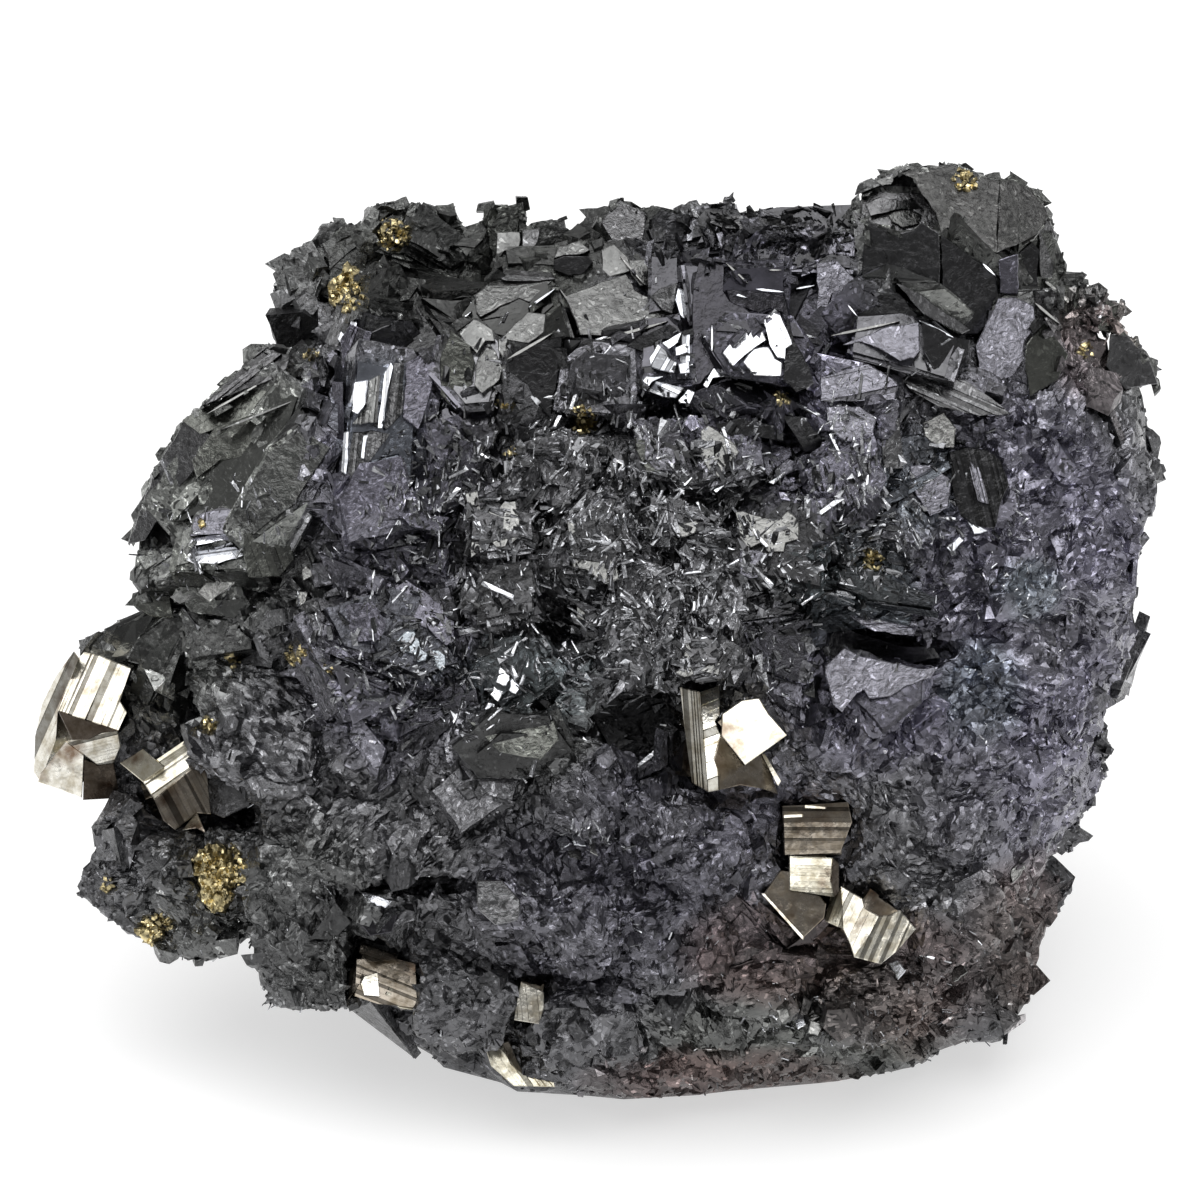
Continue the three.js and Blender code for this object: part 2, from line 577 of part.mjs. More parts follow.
// A cube of pyrite as a pile of thin plates of slightly different widths, which give its
// sides their ledges. The plates pile up along the cube's own Y.
function pyriteCube({ size, at, turn, plates, seed }) {
  const next = stream(seed);
  const [width, height, depth] = size;
  const thickness = height / plates;
  const pile = [];
  for (let i = 0; i < plates; i++) {
    const inset = between(next, 0, 0.08);
    const shift = between(next, -0.02, 0.02);
    const plate = new THREE.BoxGeometry(width * (1 - inset), thickness + 0.02, depth * (1 - inset));
    plate.translate(width * shift, (i + 0.5) * thickness - height / 2, depth * shift);
    pile.push(solidOf(plate));
  }
  return joined(pile).transform(turned(turn).setPosition(laidOut(...at)).elements);
}

// The pocket that a cube sits in: its plain box, wider by GAP all round.
function pyritePocket({ size, at, turn }) {
  const [width, height, depth] = size.map((s) => s * 1.02 + 2 * GAP);
  const box = new THREE.BoxGeometry(width, height, depth);
  return solidOf(box.applyMatrix4(turned(turn).setPosition(laidOut(...at))));
}

// The pyrite groups: cubes grown into each other make one piece.
const PYRITE = {
  pyrite_left_pair: [
    { size: [5.6, 6.6, 5], at: [-50.2, -8.8, 4], turn: [14, 8, -18], plates: 3, seed: 3 },
    { size: [5.6, 10, 5.6], at: [-51.6, -13.4, 0], turn: [-38, -14, -28], plates: 4, seed: 4 },
  ],
  pyrite_left_lower: [
    { size: [6.4, 6.4, 6], at: [-43.4, -18.8, 5], turn: [14, -34, 24], plates: 4, seed: 5 },
  ],
  pyrite_centre_pair: [
    { size: [4, 10.4, 4.4], at: [9.4, -13.9, 24.5], turn: [-42, 4, -4], plates: 4, seed: 6 },
    { size: [5, 5, 5], at: [15.4, -13.1, 25], turn: [4, 18, 36], plates: 3, seed: 7 },
  ],
  pyrite_right_trio: [
    { size: [6.8, 4.4, 5], at: [21.8, -23, 20.5], turn: [4, 10, 0], plates: 3, seed: 8 },
    { size: [4.6, 4.2, 5], at: [21.2, -27.4, 21], turn: [-6, 6, -3], plates: 3, seed: 9 },
    { size: [4.6, 4.6, 4.6], at: [19.2, -30, 18.5], turn: [-10, -14, 45], plates: 3, seed: 10 },
  ],
  pyrite_right_ledged: [
    { size: [7, 6, 5], at: [27.0, -32.6, 18.5], turn: [10, 8, 52], plates: 4, seed: 11 },
  ],
  pyrite_lower_left_pair: [
    { size: [4.4, 5, 4.6], at: [-22.6, -36.6, 10.5], turn: [-10, 6, -14], plates: 3, seed: 12 },
    { size: [4, 4, 4], at: [-19.6, -39.6, 11], turn: [12, 6, -36], plates: 3, seed: 13 },
  ],
  pyrite_lower_middle: [
    { size: [3.2, 4.4, 4], at: [-7, -40.2, 13.5], turn: [0, 10, -8], plates: 3, seed: 14 },
  ],
  pyrite_base_edge: [
    { size: [2.8, 4.6, 4], at: [-9.4, -46.2, 10], turn: [0, 0, 24], plates: 3, seed: 15 },
  ],
};

// ---------------------------------------------------------------- chalcopyrite

// Lumpy patches: [across, up, width, height, thickness, roll].
const CHALCOPYRITE = {
  chalcopyrite_knob: [-37.4, -27.0, 4.2, 7.2, 3, 12],
  chalcopyrite_knob_foot: [-44.0, -32.4, 2.8, 3.4, 2, -10],
  chalcopyrite_crest: [-20.4, 36.2, 4.6, 3.4, 3, -35],
  chalcopyrite_upper_left: [-25.0, 30.8, 4.0, 4.6, 2.4, -30],
  chalcopyrite_left: [-30.2, -5.5, 3.0, 2.4, 2, 20],
  chalcopyrite_middle: [-1.2, 18.0, 3.6, 4.2, 2.4, 30],
  chalcopyrite_right: [27.2, 3.8, 2.2, 3.8, 2, 15],
};

const SPREAD = 0.16; // how far a patch's lumps depart from an even oval
const FINE_LUMP = 6; // a patch taller than this gets finer facets

function chalcopyriteLump([x, y, width, height, thickness, roll], place, grow = 0) {
  const lump = new THREE.IcosahedronGeometry(1, height > FINE_LUMP ? 1 : 0);
  const p = lump.attributes.position;
  const v = new THREE.Vector3();
  for (let i = 0; i < p.count; i++) {
    v.fromBufferAttribute(p, i);
    const bumps = Math.sin(5 * v.x + x) * Math.sin(6 * v.y + y) + 0.6 * Math.sin(9 * v.z + 7 * v.x);
    v.multiplyScalar(1 + SPREAD * bumps);
    p.setXYZ(i, v.x, v.y, v.z);
  }
  const half = [width, height, thickness].map((s) => s / 2);
  const widen = grow / Math.min(...half);
  lump.scale(...half.map((s) => s * (1 + widen)));
  return solidOf(lump.rotateZ(rad(roll)).translate(...place));
}

// ---------------------------------------------------------------- the specimen

const SPHALERITE = new THREE.MeshStandardMaterial({
  color: 0x2e2e31,
  roughness: 0.45,
  metalness: 0.2,
});
const PYRITE_METAL = new THREE.MeshStandardMaterial({
  color: 0xb9ad8c,
  roughness: 0.3,
  metalness: 1,
});
const CHALCOPYRITE_METAL = new THREE.MeshStandardMaterial({
  color: 0xa98435,
  roughness: 0.4,
  metalness: 1,
});

// How far out the mass's surface stands at a place on the display face.
function surfaceFinder(solid) {
  const mesh = new THREE.Mesh(geometryOf(solid));
  const caster = new THREE.Raycaster();
  const inwards = new THREE.Vector3(0, 0, -1);
  return (x, y) => {
    caster.set(new THREE.Vector3(x, y, 100), inwards);
    const [hit] = caster.intersectObject(mesh);
    return hit ? hit.point.z : RIM_Z;
  };
}

function named(name, solid, material) {
  const mesh = new THREE.Mesh(geometryOf(solid), material);
  mesh.name = name;
  return mesh;
}

function buildSpecimen() {
  const display = new THREE.Group();
  const below = underBase();
  let mass = growMass();
  const surfaceAt = surfaceFinder(mass);

  for (const [name, cubes] of Object.entries(PYRITE)) {
    mass = mass.subtract(joined(cubes.map(pyritePocket)));
    const crystals = joined(cubes.map(pyriteCube)).subtract(below);
    display.add(named(name, mainBody(crystals), PYRITE_METAL));
  }
  for (const [name, patch] of Object.entries(CHALCOPYRITE)) {
    const { x, y } = laidOut(patch[0], patch[1], frontAt(patch[0], patch[1]));
    const place = new THREE.Vector3(x, y, surfaceAt(x, y) - 0.2 * patch[4]);
    mass = mass.subtract(chalcopyriteLump(patch, place, GAP));
    display.add(named(name, chalcopyriteLump(patch, place), CHALCOPYRITE_METAL));
  }
  display.add(named("sphalerite_mass", mainBody(mass), SPHALERITE));
  display.rotation.x = Math.PI / 2 - rad(FACE_LEAN);

  const specimen = new THREE.Group();
  specimen.add(display);
  const box = new THREE.Box3().setFromObject(specimen, true);
  const middle = box.getCenter(new THREE.Vector3());
  display.position.set(-middle.x, -middle.y, -box.min.z);
  return specimen;
}

export default buildSpecimen();
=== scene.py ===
"""Sphalerite specimen with pyrite and chalcopyrite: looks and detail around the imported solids.

Lengths in the making are in millimetres in the row frame (+X across, +Z up), and a mesh is scaled
to metres when it becomes a Blender object. A place on the face is given as (across, up), in
millimetres from the middle of the display face as the camera sees it.
"""

import itertools
import math

import bpy
import numpy as np
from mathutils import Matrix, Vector
from mathutils.bvhtree import BVHTree
from mathutils.geometry import tessellate_polygon
from mathutils.kdtree import KDTree


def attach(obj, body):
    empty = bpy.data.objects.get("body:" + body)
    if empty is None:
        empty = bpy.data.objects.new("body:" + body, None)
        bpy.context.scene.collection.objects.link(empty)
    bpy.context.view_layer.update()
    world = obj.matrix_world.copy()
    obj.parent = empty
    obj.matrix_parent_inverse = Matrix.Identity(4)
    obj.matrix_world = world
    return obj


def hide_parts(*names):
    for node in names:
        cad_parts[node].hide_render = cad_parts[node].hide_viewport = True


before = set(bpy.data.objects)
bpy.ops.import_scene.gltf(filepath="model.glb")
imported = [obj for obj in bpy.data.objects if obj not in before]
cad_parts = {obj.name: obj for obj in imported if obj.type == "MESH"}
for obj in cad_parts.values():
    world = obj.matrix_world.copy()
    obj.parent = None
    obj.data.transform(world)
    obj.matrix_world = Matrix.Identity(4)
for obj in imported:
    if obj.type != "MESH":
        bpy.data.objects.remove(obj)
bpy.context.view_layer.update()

MM = 0.001
MASS = "sphalerite_mass"
BODY = "root"

# ---------------------------------------------------------------- the display face

FACE_LEAN = math.radians(24)  # the face leans back from upright by this
FACE_MIDDLE = np.array([-0.85, -5.81, 45.20])
EYE_DISTANCE = 450.0  # from the face's middle to the camera
VIEW_WIDTH = 120.0  # how much of the face's plane the picture takes in
FRONT_DEPTH = 14  # what lies less than this behind the face's plane counts as its front

lean_sin, lean_cos = math.sin(FACE_LEAN), math.cos(FACE_LEAN)
# Rows are the face's own axes: across it, up it, and out of it towards the viewer.
FACE_AXES = np.array([[1, 0, 0], [0, lean_sin, lean_cos], [0, -lean_cos, lean_sin]])
OUT = FACE_AXES[2]
EYE = FACE_MIDDLE + EYE_DISTANCE * OUT


def to_face(points):
    """Row-frame points as (across, up, out) from the face's middle."""
    return (points - FACE_MIDDLE) @ FACE_AXES.T


def from_face(points):
    """The reverse of to_face."""
    return np.asarray(points, float) @ FACE_AXES + FACE_MIDDLE


def as_seen(points):
    """The (across, up) where a point shows on the face from the eye's place."""
    local = to_face(points)
    shrink = EYE_DISTANCE / (EYE_DISTANCE - local[:, 2])
    return local[:, :2] * shrink[:, None]


def sight_lines(seen):
    """From the eye through each (across, up) to the face's plane, as vectors."""
    seen = np.asarray(seen, float)
    return from_face(np.hstack([seen, np.zeros((len(seen), 1))])) - EYE


def facing_way(lean, turn):
    """The direction a face looks, from its lean upwards and its turn to the right in degrees."""
    lean, turn = math.radians(lean), math.radians(turn)
    local = np.array([math.cos(lean) * math.sin(turn), math.sin(lean), math.cos(lean) * math.cos(turn)])
    return local @ FACE_AXES


GLINT_WAY = facing_way(28, -5)  # faces that look this way catch the light

# ---------------------------------------------------------------- repeatable noise


def hashed(cells, salt):
    """A number from 0 to 1 for each whole-numbered cell."""
    mixed = cells[:, 0] * 73856093 ^ cells[:, 1] * 19349663 ^ cells[:, 2] * 83492791
    mixed = (mixed ^ salt * 40503) & 0x7FFFFFFF
    mixed = ((mixed ^ (mixed >> 15)) * 73244475) & 0x7FFFFFFF
    mixed = ((mixed ^ (mixed >> 13)) * 73244475) & 0x7FFFFFFF
    return (mixed ^ (mixed >> 16)) / 0x7FFFFFFF


def mist(points, size, salt):
    """Smooth noise from 0 to 1 that changes over about one size."""
    scaled = points / size
    base = np.floor(scaled).astype(np.int64)
    part = scaled - base
    part = part * part * (3 - 2 * part)
    total = np.zeros(len(points))
    for corner in itertools.product((0, 1), repeat=3):
        weight = np.prod(np.where(corner, part, 1 - part), axis=1)
        total += weight * hashed(base + np.array(corner), salt)
    return total


def shards(points, size, salt, lean):
    """Heights from about -1 to 1 of a surface broken into flat pieces, each with its own lean."""
    scaled = points / size
    base = np.floor(scaled).astype(np.int64)
    nearest = np.full(len(points), np.inf)
    height = np.zeros(len(points))
    for step in itertools.product((-1, 0, 1), repeat=3):
        cell = base + np.array(step)
        seed = cell + np.stack([hashed(cell, salt + i) for i in range(3)], axis=1)
        away = scaled - seed
        distance = (away * away).sum(axis=1)
        slope = np.stack([hashed(cell, salt + 3 + i) for i in range(3)], axis=1) * 2 - 1
        value = hashed(cell, salt + 6) * 2 - 1 + lean * (away * slope).sum(axis=1)
        closer = distance < nearest
        nearest[closer] = distance[closer]
        height[closer] = value[closer]
    return height


# ---------------------------------------------------------------- meshes as arrays


SIDES = [[0, 1], [1, 2], [2, 0]]  # the corners of a triangle at the ends of each of its sides


def unit(vectors):
    """The vectors at a length of one."""
    return vectors / np.maximum(np.linalg.norm(vectors, axis=-1, keepdims=True), 1e-9)


def sums(numbers, rows, count):
    """The rows added up by number, for each number below the count."""
    return np.stack([np.bincount(numbers, rows[:, axis], count) for axis in range(3)], axis=1)


def triangle_normals(points, triangles):
    """Each triangle's normal and area."""
    a, b, c = (points[triangles[:, i]] for i in range(3))
    crossed = np.cross(b - a, c - a)
    return unit(crossed), np.linalg.norm(crossed, axis=1) / 2


def mesh_arrays(thing):
    """An object's vertices in millimetres, each place once, and its triangles."""
    data = thing.data
    data.calc_loop_triangles()
    points = np.zeros(len(data.vertices) * 3, np.float32)
    data.vertices.foreach_get("co", points)
    triangles = np.zeros(len(data.loop_triangles) * 3, np.int32)
    data.loop_triangles.foreach_get("vertices", triangles)
    places = points.reshape(-1, 3).astype(float) / MM
    _, first, number = np.unique(np.round(places, 3), axis=0, return_index=True, return_inverse=True)
    triangles = number.reshape(-1)[triangles.reshape(-1, 3)]
    whole = (triangles != np.roll(triangles, 1, axis=1)).all(axis=1)
    return places[first], triangles[whole].astype(np.int64)


MADE = {}  # the points and triangles of each piece, by name


def add_piece(name, points, triangles, material, tint=None, smooth_below=0.0):
    """A mesh object from arrays, riding on the one body. A crease sharper than smooth_below stays sharp."""
    MADE[name] = points, triangles
    data = bpy.data.meshes.new(name)
    data.vertices.add(len(points))
    data.vertices.foreach_set("co", (points * MM).astype(np.float32).ravel())
    data.loops.add(len(triangles) * 3)
    data.loops.foreach_set("vertex_index", triangles.astype(np.int32).ravel())
    data.polygons.add(len(triangles))
    data.polygons.foreach_set("loop_start", np.arange(0, len(triangles) * 3, 3, dtype=np.int32))
    data.update(calc_edges=True)
    if tint is not None:
        layer = data.color_attributes.new("tint", "FLOAT_COLOR", "POINT")
        coloured = np.ones((len(points), 4), np.float32)
        coloured[:, : tint.shape[1]] = tint
        layer.data.foreach_set("color", coloured.ravel())
    if smooth_below:
        data.shade_smooth()
        data.set_sharp_from_angle(angle=math.radians(smooth_below))
    else:
        data.shade_flat()
    data.materials.append(material)
    piece = bpy.data.objects.new(name, data)
    bpy.context.scene.collection.objects.link(piece)
    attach(piece, BODY)
    return piece


# ---------------------------------------------------------------- finer meshes


def side_ends(triangles):
    """The two ends of each side of each triangle, the lower number first."""
    return np.sort(triangles[:, SIDES], axis=2).reshape(-1, 2)


def shared_sides(triangles):
    """The sides that two triangles share: their ends, and the two triangles of each."""
    sides = side_ends(triangles)
    order = np.lexsort((sides[:, 1], sides[:, 0]))
    same = (sides[order][1:] == sides[order][:-1]).all(axis=1)
    return sides[order][:-1][same], order[:-1][same] // 3, order[1:][same] // 3


def split_once(points, triangles, owner, longest):
    """Every edge over its longest length is halved, and each triangle's longest edge with it."""
    ends = side_ends(triangles)
    codes, edge_of = np.unique(ends[:, 0] * len(points) + ends[:, 1], return_inverse=True)
    edge_of = edge_of.reshape(-1, 3)
    first, second = points[codes // len(points)], points[codes % len(points)]
    length = np.linalg.norm(second - first, axis=1)
    middle = (first + second) / 2
    marked = length > longest(middle)
    if not marked.any():
        return points, triangles, owner, False
    slot_of_longest = length[edge_of].argmax(axis=1)
    for _ in range(4):
        touched = marked[edge_of].any(axis=1)
        marked[edge_of[touched, slot_of_longest[touched]]] = True
    number = np.full(len(codes), -1)
    number[marked] = len(points) + np.arange(marked.sum())
    middles = number[edge_of]
    count = (middles >= 0).sum(axis=1)

    # Each triangle is turned so that its pattern of halved edges is the first of its kind.
    turn = np.zeros(len(triangles), int)
    one, two = count == 1, count == 2
    turn[one] = (middles[one] >= 0).argmax(axis=1)
    turn[two] = ((middles[two] < 0).argmax(axis=1) + 1) % 3
    columns = (np.arange(3) + turn[:, None]) % 3
    t = np.take_along_axis(triangles, columns, axis=1)
    m = np.take_along_axis(middles, columns, axis=1)
    a, b, c = t.T
    ab, bc, ca = m.T
    none, three = count == 0, count == 3

    def made(mask, *corners):
        return np.stack([corner[mask] for corner in corners], axis=1), owner[mask]

    parts = [
        made(none, a, b, c),
        made(one, a, ab, c),
        made(one, ab, b, c),
        made(two, ab, b, bc),
        made(two, a, ab, bc),
        made(two, a, bc, c),
        made(three, a, ab, ca),
        made(three, ab, b, bc),
        made(three, ca, bc, c),
        made(three, ab, bc, ca),
    ]
    triangles = np.concatenate([part[0] for part in parts])
    owner = np.concatenate([part[1] for part in parts])
    return np.vstack([points, middle[marked]]), triangles, owner, True


def melted(points, triangles, weight, rounds):
    """Corners and steps worn away where weight is high, by moving points towards their neighbours."""
    edges = np.unique(side_ends(triangles), axis=0)
    ends = np.concatenate([edges[:, 0], edges[:, 1]])
    others = np.concatenate([edges[:, 1], edges[:, 0]])
    count = np.bincount(ends, minlength=len(points))
    for _ in range(rounds):
        total = sums(ends, points[others], len(points))
        points = points + weight[:, None] * (total / count[:, None] - points)
    return points


def refined(points, triangles, longest):
    """A mesh with no edge over its longest length, and the number of the triangle each one came from."""
    owner = np.arange(len(triangles))
    going = True
    while going:
        points, triangles, owner, going = split_once(points, triangles, owner, longest)
    return points, triangles, owner


# ---------------------------------------------------------------- facets of the solid

SAME_FACET = math.cos(math.radians(1.0))


def facets_of(points, triangles):
    """The facet number of each triangle: neighbours that lie in one plane share a number."""
    normals, _ = triangle_normals(points, triangles)
    _, left, right = shared_sides(triangles)
    flat = (normals[left] * normals[right]).sum(axis=1) > SAME_FACET
    chief = np.arange(len(triangles))

    def chief_of(i):
        while chief[i] != i:
            chief[i] = chief[chief[i]]
            i = chief[i]
        return i

    for i, j in zip(left[flat], right[flat]):
        a, b = chief_of(i), chief_of(j)
        if a != b:
            chief[max(a, b)] = min(a, b)
    roots = np.array([chief_of(i) for i in range(len(triangles))])
    return np.unique(roots, return_inverse=True)[1]


class Facets:
    """What is known of each flat facet: area, middle, normal, and its longest edge's length and way."""

    def __init__(self, points, triangles):
        self.number = facets_of(points, triangles)
        normals, areas = triangle_normals(points, triangles)
        count = self.number.max() + 1
        self.area = np.bincount(self.number, areas, count)
        self.normal = unit(sums(self.number, normals * areas[:, None], count))
        corners = points[triangles]
        edges = corners[:, [1, 2, 0]] - corners
        length = np.linalg.norm(edges, axis=2)
        self.along = np.zeros((count, 3))
        self.length = np.zeros(count)
        slot = length.argmax(axis=1)
        rows = np.arange(len(triangles))
        for facet, reach, way in zip(self.number, length[rows, slot], edges[rows, slot]):
            if reach > self.length[facet]:
                self.length[facet] = reach
                self.along[facet] = way
        self.along = unit(self.along - self.normal * (self.along * self.normal).sum(axis=1, keepdims=True))
        self.beside = np.cross(self.normal, self.along)
        middles = corners.mean(axis=1) * areas[:, None]
        self.middle = sums(self.number, middles, count) / self.area[:, None]
        self.rim_of, self.rims = self.find_rims(points, triangles)

    def find_rims(self, points, triangles):
        """The edges round each facet, as pairs of points, ordered by facet."""
        sides = triangles[:, SIDES].reshape(-1, 2)
        owner = np.repeat(self.number, 3)
        low, high = sides.min(axis=1), sides.max(axis=1)
        code = (owner * len(points) + low) * len(points) + high
        _, first, times = np.unique(code, return_index=True, return_counts=True)
        rim = first[times == 1]
        rim = rim[np.argsort(owner[rim], kind="stable")]
        return owner[rim], points[sides[rim]]

    def rim_in_plane(self, facet):
        """The facet's edges as (start, end) in its own two directions from its middle."""
        low, high = np.searchsorted(self.rim_of, [facet, facet + 1])
        ends = self.rims[low:high] - self.middle[facet]
        plane = np.stack([self.along[facet], self.beside[facet]], axis=1)
        return ends @ plane


# ---------------------------------------------------------------- how the face is worn

PATCH_DEPTH = 10  # a patch on the face reaches this far behind the face's plane
# With the squared distance from a patch's middle counted in its half sizes, its value is gone at
# this, and whole at one less.
PATCH_FADE = 1.6

# Smooth patches, where a crystal's face lies clean: [across, up, half width, half height, how clean].
CLEAN_PATCHES = [
    [-38.5, 13, 9, 13, 0.75],
    [-21.5, 18.5, 6.5, 7, 0.9],
    [-35.5, 4.5, 6, 5, 0.6],
    [-3, 29.3, 9.5, 4.5, 0.85],
    [19.5, 37.3, 7, 2.5, 0.8],
    [12.5, 27, 8, 8, 0.95],
    [35.5, 35, 10, 9, 0.75],
    [29, 26, 8, 6, 0.6],
    [37, 25, 8, 5, 0.4],
    [-10, 7, 3.4, 3.2, 0.35],
    [-0.7, 5, 3, 3.6, 0.35],
    [13, 14.5, 3.2, 2.8, 0.35],
    [17.8, 5.2, 4.6, 4.6, 0.35],
    [28, -8, 6, 4.2, 0.35],
    [11, -6.5, 3.2, 2.8, 0.35],
    [-8.5, -13.5, 5, 3, 0.35],
    [-46, -4, 4.5, 3.5, 0.5],
    [-10, 21, 5, 9, 0.5],
]


def in_patches(points, patches):
    """How far each point lies in the patches, from 0 outside to the patch's own value."""
    seen = as_seen(points)
    front = to_face(points)[:, 2] > -PATCH_DEPTH
    most = np.zeros(len(points))
    for across, up, half_width, half_height, value in patches:
        reach = ((seen[:, 0] - across) / half_width) ** 2 + ((seen[:, 1] - up) / half_height) ** 2
        most = np.maximum(most, value * np.clip(PATCH_FADE - reach, 0, 1))
    return most * front


# Fine-grained, rounded stretches with no blocky crystals: [across, up, half width, half height, how much].
FINE_PATCHES = [
    [46, 0, 17, 24, 1.0],
    [34, -22, 14, 14, 0.9],
    [38, 12, 8, 7, 0.7],
    [48, 20, 8, 10, 0.8],
    [22, -42, 20, 6, 1.0],
    [0, -44, 22, 5, 0.9],
    [-3, -33, 18, 8, 0.6],
    [-28, -20, 9, 8, 0.7],
    [-41, -30, 8, 8, 0.8],
    [-30, -33, 7, 7, 0.5],
    [8, -24, 12, 7, 0.6],
    [-12, -26, 12, 7, 0.6],
    [-36, -13, 10, 8, 0.9],
    [-21, -6, 8, 7, 0.45],
    [24, -14, 10, 6, 0.5],
    [4, -2, 8, 8, 0.35],
    [-2, -20, 6, 5, 0.6],
]

# Stretches lighter than the rest, in the same way.
LIGHT_PATCHES = [
    [44, -3, 14, 27, 0.35],
    [27, -14, 9, 7, 0.25],
    [-20, 15, 7, 9, 0.2],
    [-38, 9, 10, 15, 0.3],
    [24, 14, 8, 8, 0.2],
    [4, 4, 13, 10, 0.3],
]


def cleanness(points):
    """How clean and smooth the stone is at each point, from 0 to 1."""
    return in_patches(points, CLEAN_PATCHES)


def fineness(points):
    """How fine-grained and rounded it is, from 0 to 1."""
    return np.clip(in_patches(points, FINE_PATCHES) - cleanness(points), 0, 1)


# ---------------------------------------------------------------- colour of the stone

STONE = np.array([0.128, 0.128, 0.136])
PURPLE = np.array([0.140, 0.134, 0.178])
OLIVE = np.array([0.126, 0.132, 0.116])
BROWN = np.array([0.160, 0.105, 0.095])
TEAL = np.array([0.090, 0.122, 0.132])

# Where a colour gathers on the face: [across, up, half width, half height, how strongly].
PURPLE_PATCHES = [
    [14, 26, 14, 12, 0.8],
    [-21, 12, 9, 12, 0.7],
    [-20, -8, 9, 8, 0.6],
    [44, -2, 14, 24, 0.8],
    [26, -8, 9, 9, 0.9],
    [10, -26, 14, 12, 0.6],
    [0, -30, 12, 9, 0.5],
    [24, 14, 9, 9, 0.6],
]
OLIVE_PATCHES = [
    [-38, 12, 12, 14, 0.8],
    [-5, 34, 26, 8, 0.8],
    [38, 36, 14, 9, 0.7],
    [-45, -5, 9, 8, 0.6],
    [-34, -33, 12, 12, 0.4],
    [20, -42, 14, 7, 0.7],
    [-8, -13, 7, 5, 0.5],
    [54, 8, 5, 24, 0.8],
    [44, -34, 6, 10, 0.5],
]
TEAL_PATCHES = [
    [25, 1, 6, 5, 0.8],
    [-8, -8, 6, 4, 0.7],
    [32, 12, 4, 5, 0.5],
    [43, 1, 3, 3, 0.6],
    [-18, -5, 3, 3, 0.5],
    [38, -9, 4, 5, 0.4],
    [-22, 18, 4, 6, 0.4],
]
BROWN_PATCHES = [
    [18, -35, 9, 5, 0.9],
    [30, -38, 9, 6, 0.6],
    [12, -48, 12, 3, 0.8],
    [45, -34, 8, 8, 0.5],
    [49, 25, 4, 5, 0.5],
]
COLOURINGS = (
    (OLIVE, OLIVE_PATCHES),
    (PURPLE, PURPLE_PATCHES),
    (BROWN, BROWN_PATCHES),
    (TEAL, TEAL_PATCHES),
)

# Painted shade: stretches darker than the rest, where faces turn from the light and in deep recesses.
PAINTED_SHADE_PATCHES = [
    [-4, 30, 20, 8, 0.56],
    [0, -38, 34, 10, 0.1],
    [12, 27, 10, 8, 0.4],
    [20, 37, 8, 3, 0.5],
    [17.8, 5.2, 5, 5, 0.5],
    [-0.7, 5, 4, 4, 0.45],
    [-10, 7, 4, 4, 0.35],
    [-2, -20, 5, 5, 0.3],
    [-25, -3, 9, 7, 0.25],
    [-8, -10.5, 4, 3, 0.45],
    [-14.5, 6.5, 1.5, 2.6, 0.8],
    [-5.4, 6.4, 2, 3, 0.7],
    [-3.8, -2.2, 1.2, 2.4, 0.8],
    [4.8, 8.6, 1.3, 1.2, 0.8],
    [7.4, -12.4, 1.3, 4, 0.8],
    [28, -4.6, 5, 1.4, 0.8],
    [-8.5, -14, 5, 3.5, 0.5],
    [36, 33, 9, 7, 0.3],
    [-14, 14, 4, 6, 0.3],
    [-13, 5, 3, 4, 0.4],
    [-4, 0, 3, 5, 0.4],
    [28, 0, 9, 6, 0.45],
    [2, 20, 8, 4, 0.3],
    [6, -13, 3, 6, 0.5],
    [-8, -4, 6, 6, 0.2],
]

SPARKLE = 3.2  # how much brighter than the rest the rare best-lustred pieces are
SPARKLE_RARITY = 16  # and the higher this power, the fewer they are
PLAIN_LIGHT = 0.45  # the darkest piece against the stone's own colour, and what spread adds to it
COLOUR_DRIFT = 6  # the size of the gatherings of a colour inside its patch


def stone_tint(points, spread):
    """Base colour at each point. spread, from 0 to 1, says how light the piece is in its kind."""
    tint = np.repeat(STONE[None], len(points), axis=0)
    for colour, patches in COLOURINGS:
        share = in_patches(points, patches) * (0.4 + 0.8 * mist(points, COLOUR_DRIFT, 31))
        tint += (colour - tint) * np.clip(share, 0, 1)[:, None]
    # painted shade where faces turn from the light and in recesses
    tint *= (1 - in_patches(points, PAINTED_SHADE_PATCHES))[:, None]
    tint *= (1 + in_patches(points, LIGHT_PATCHES))[:, None]
    light = PLAIN_LIGHT + PLAIN_LIGHT * spread + SPARKLE * spread**SPARKLE_RARITY
    return tint * light[:, None]


# ---------------------------------------------------------------- materials


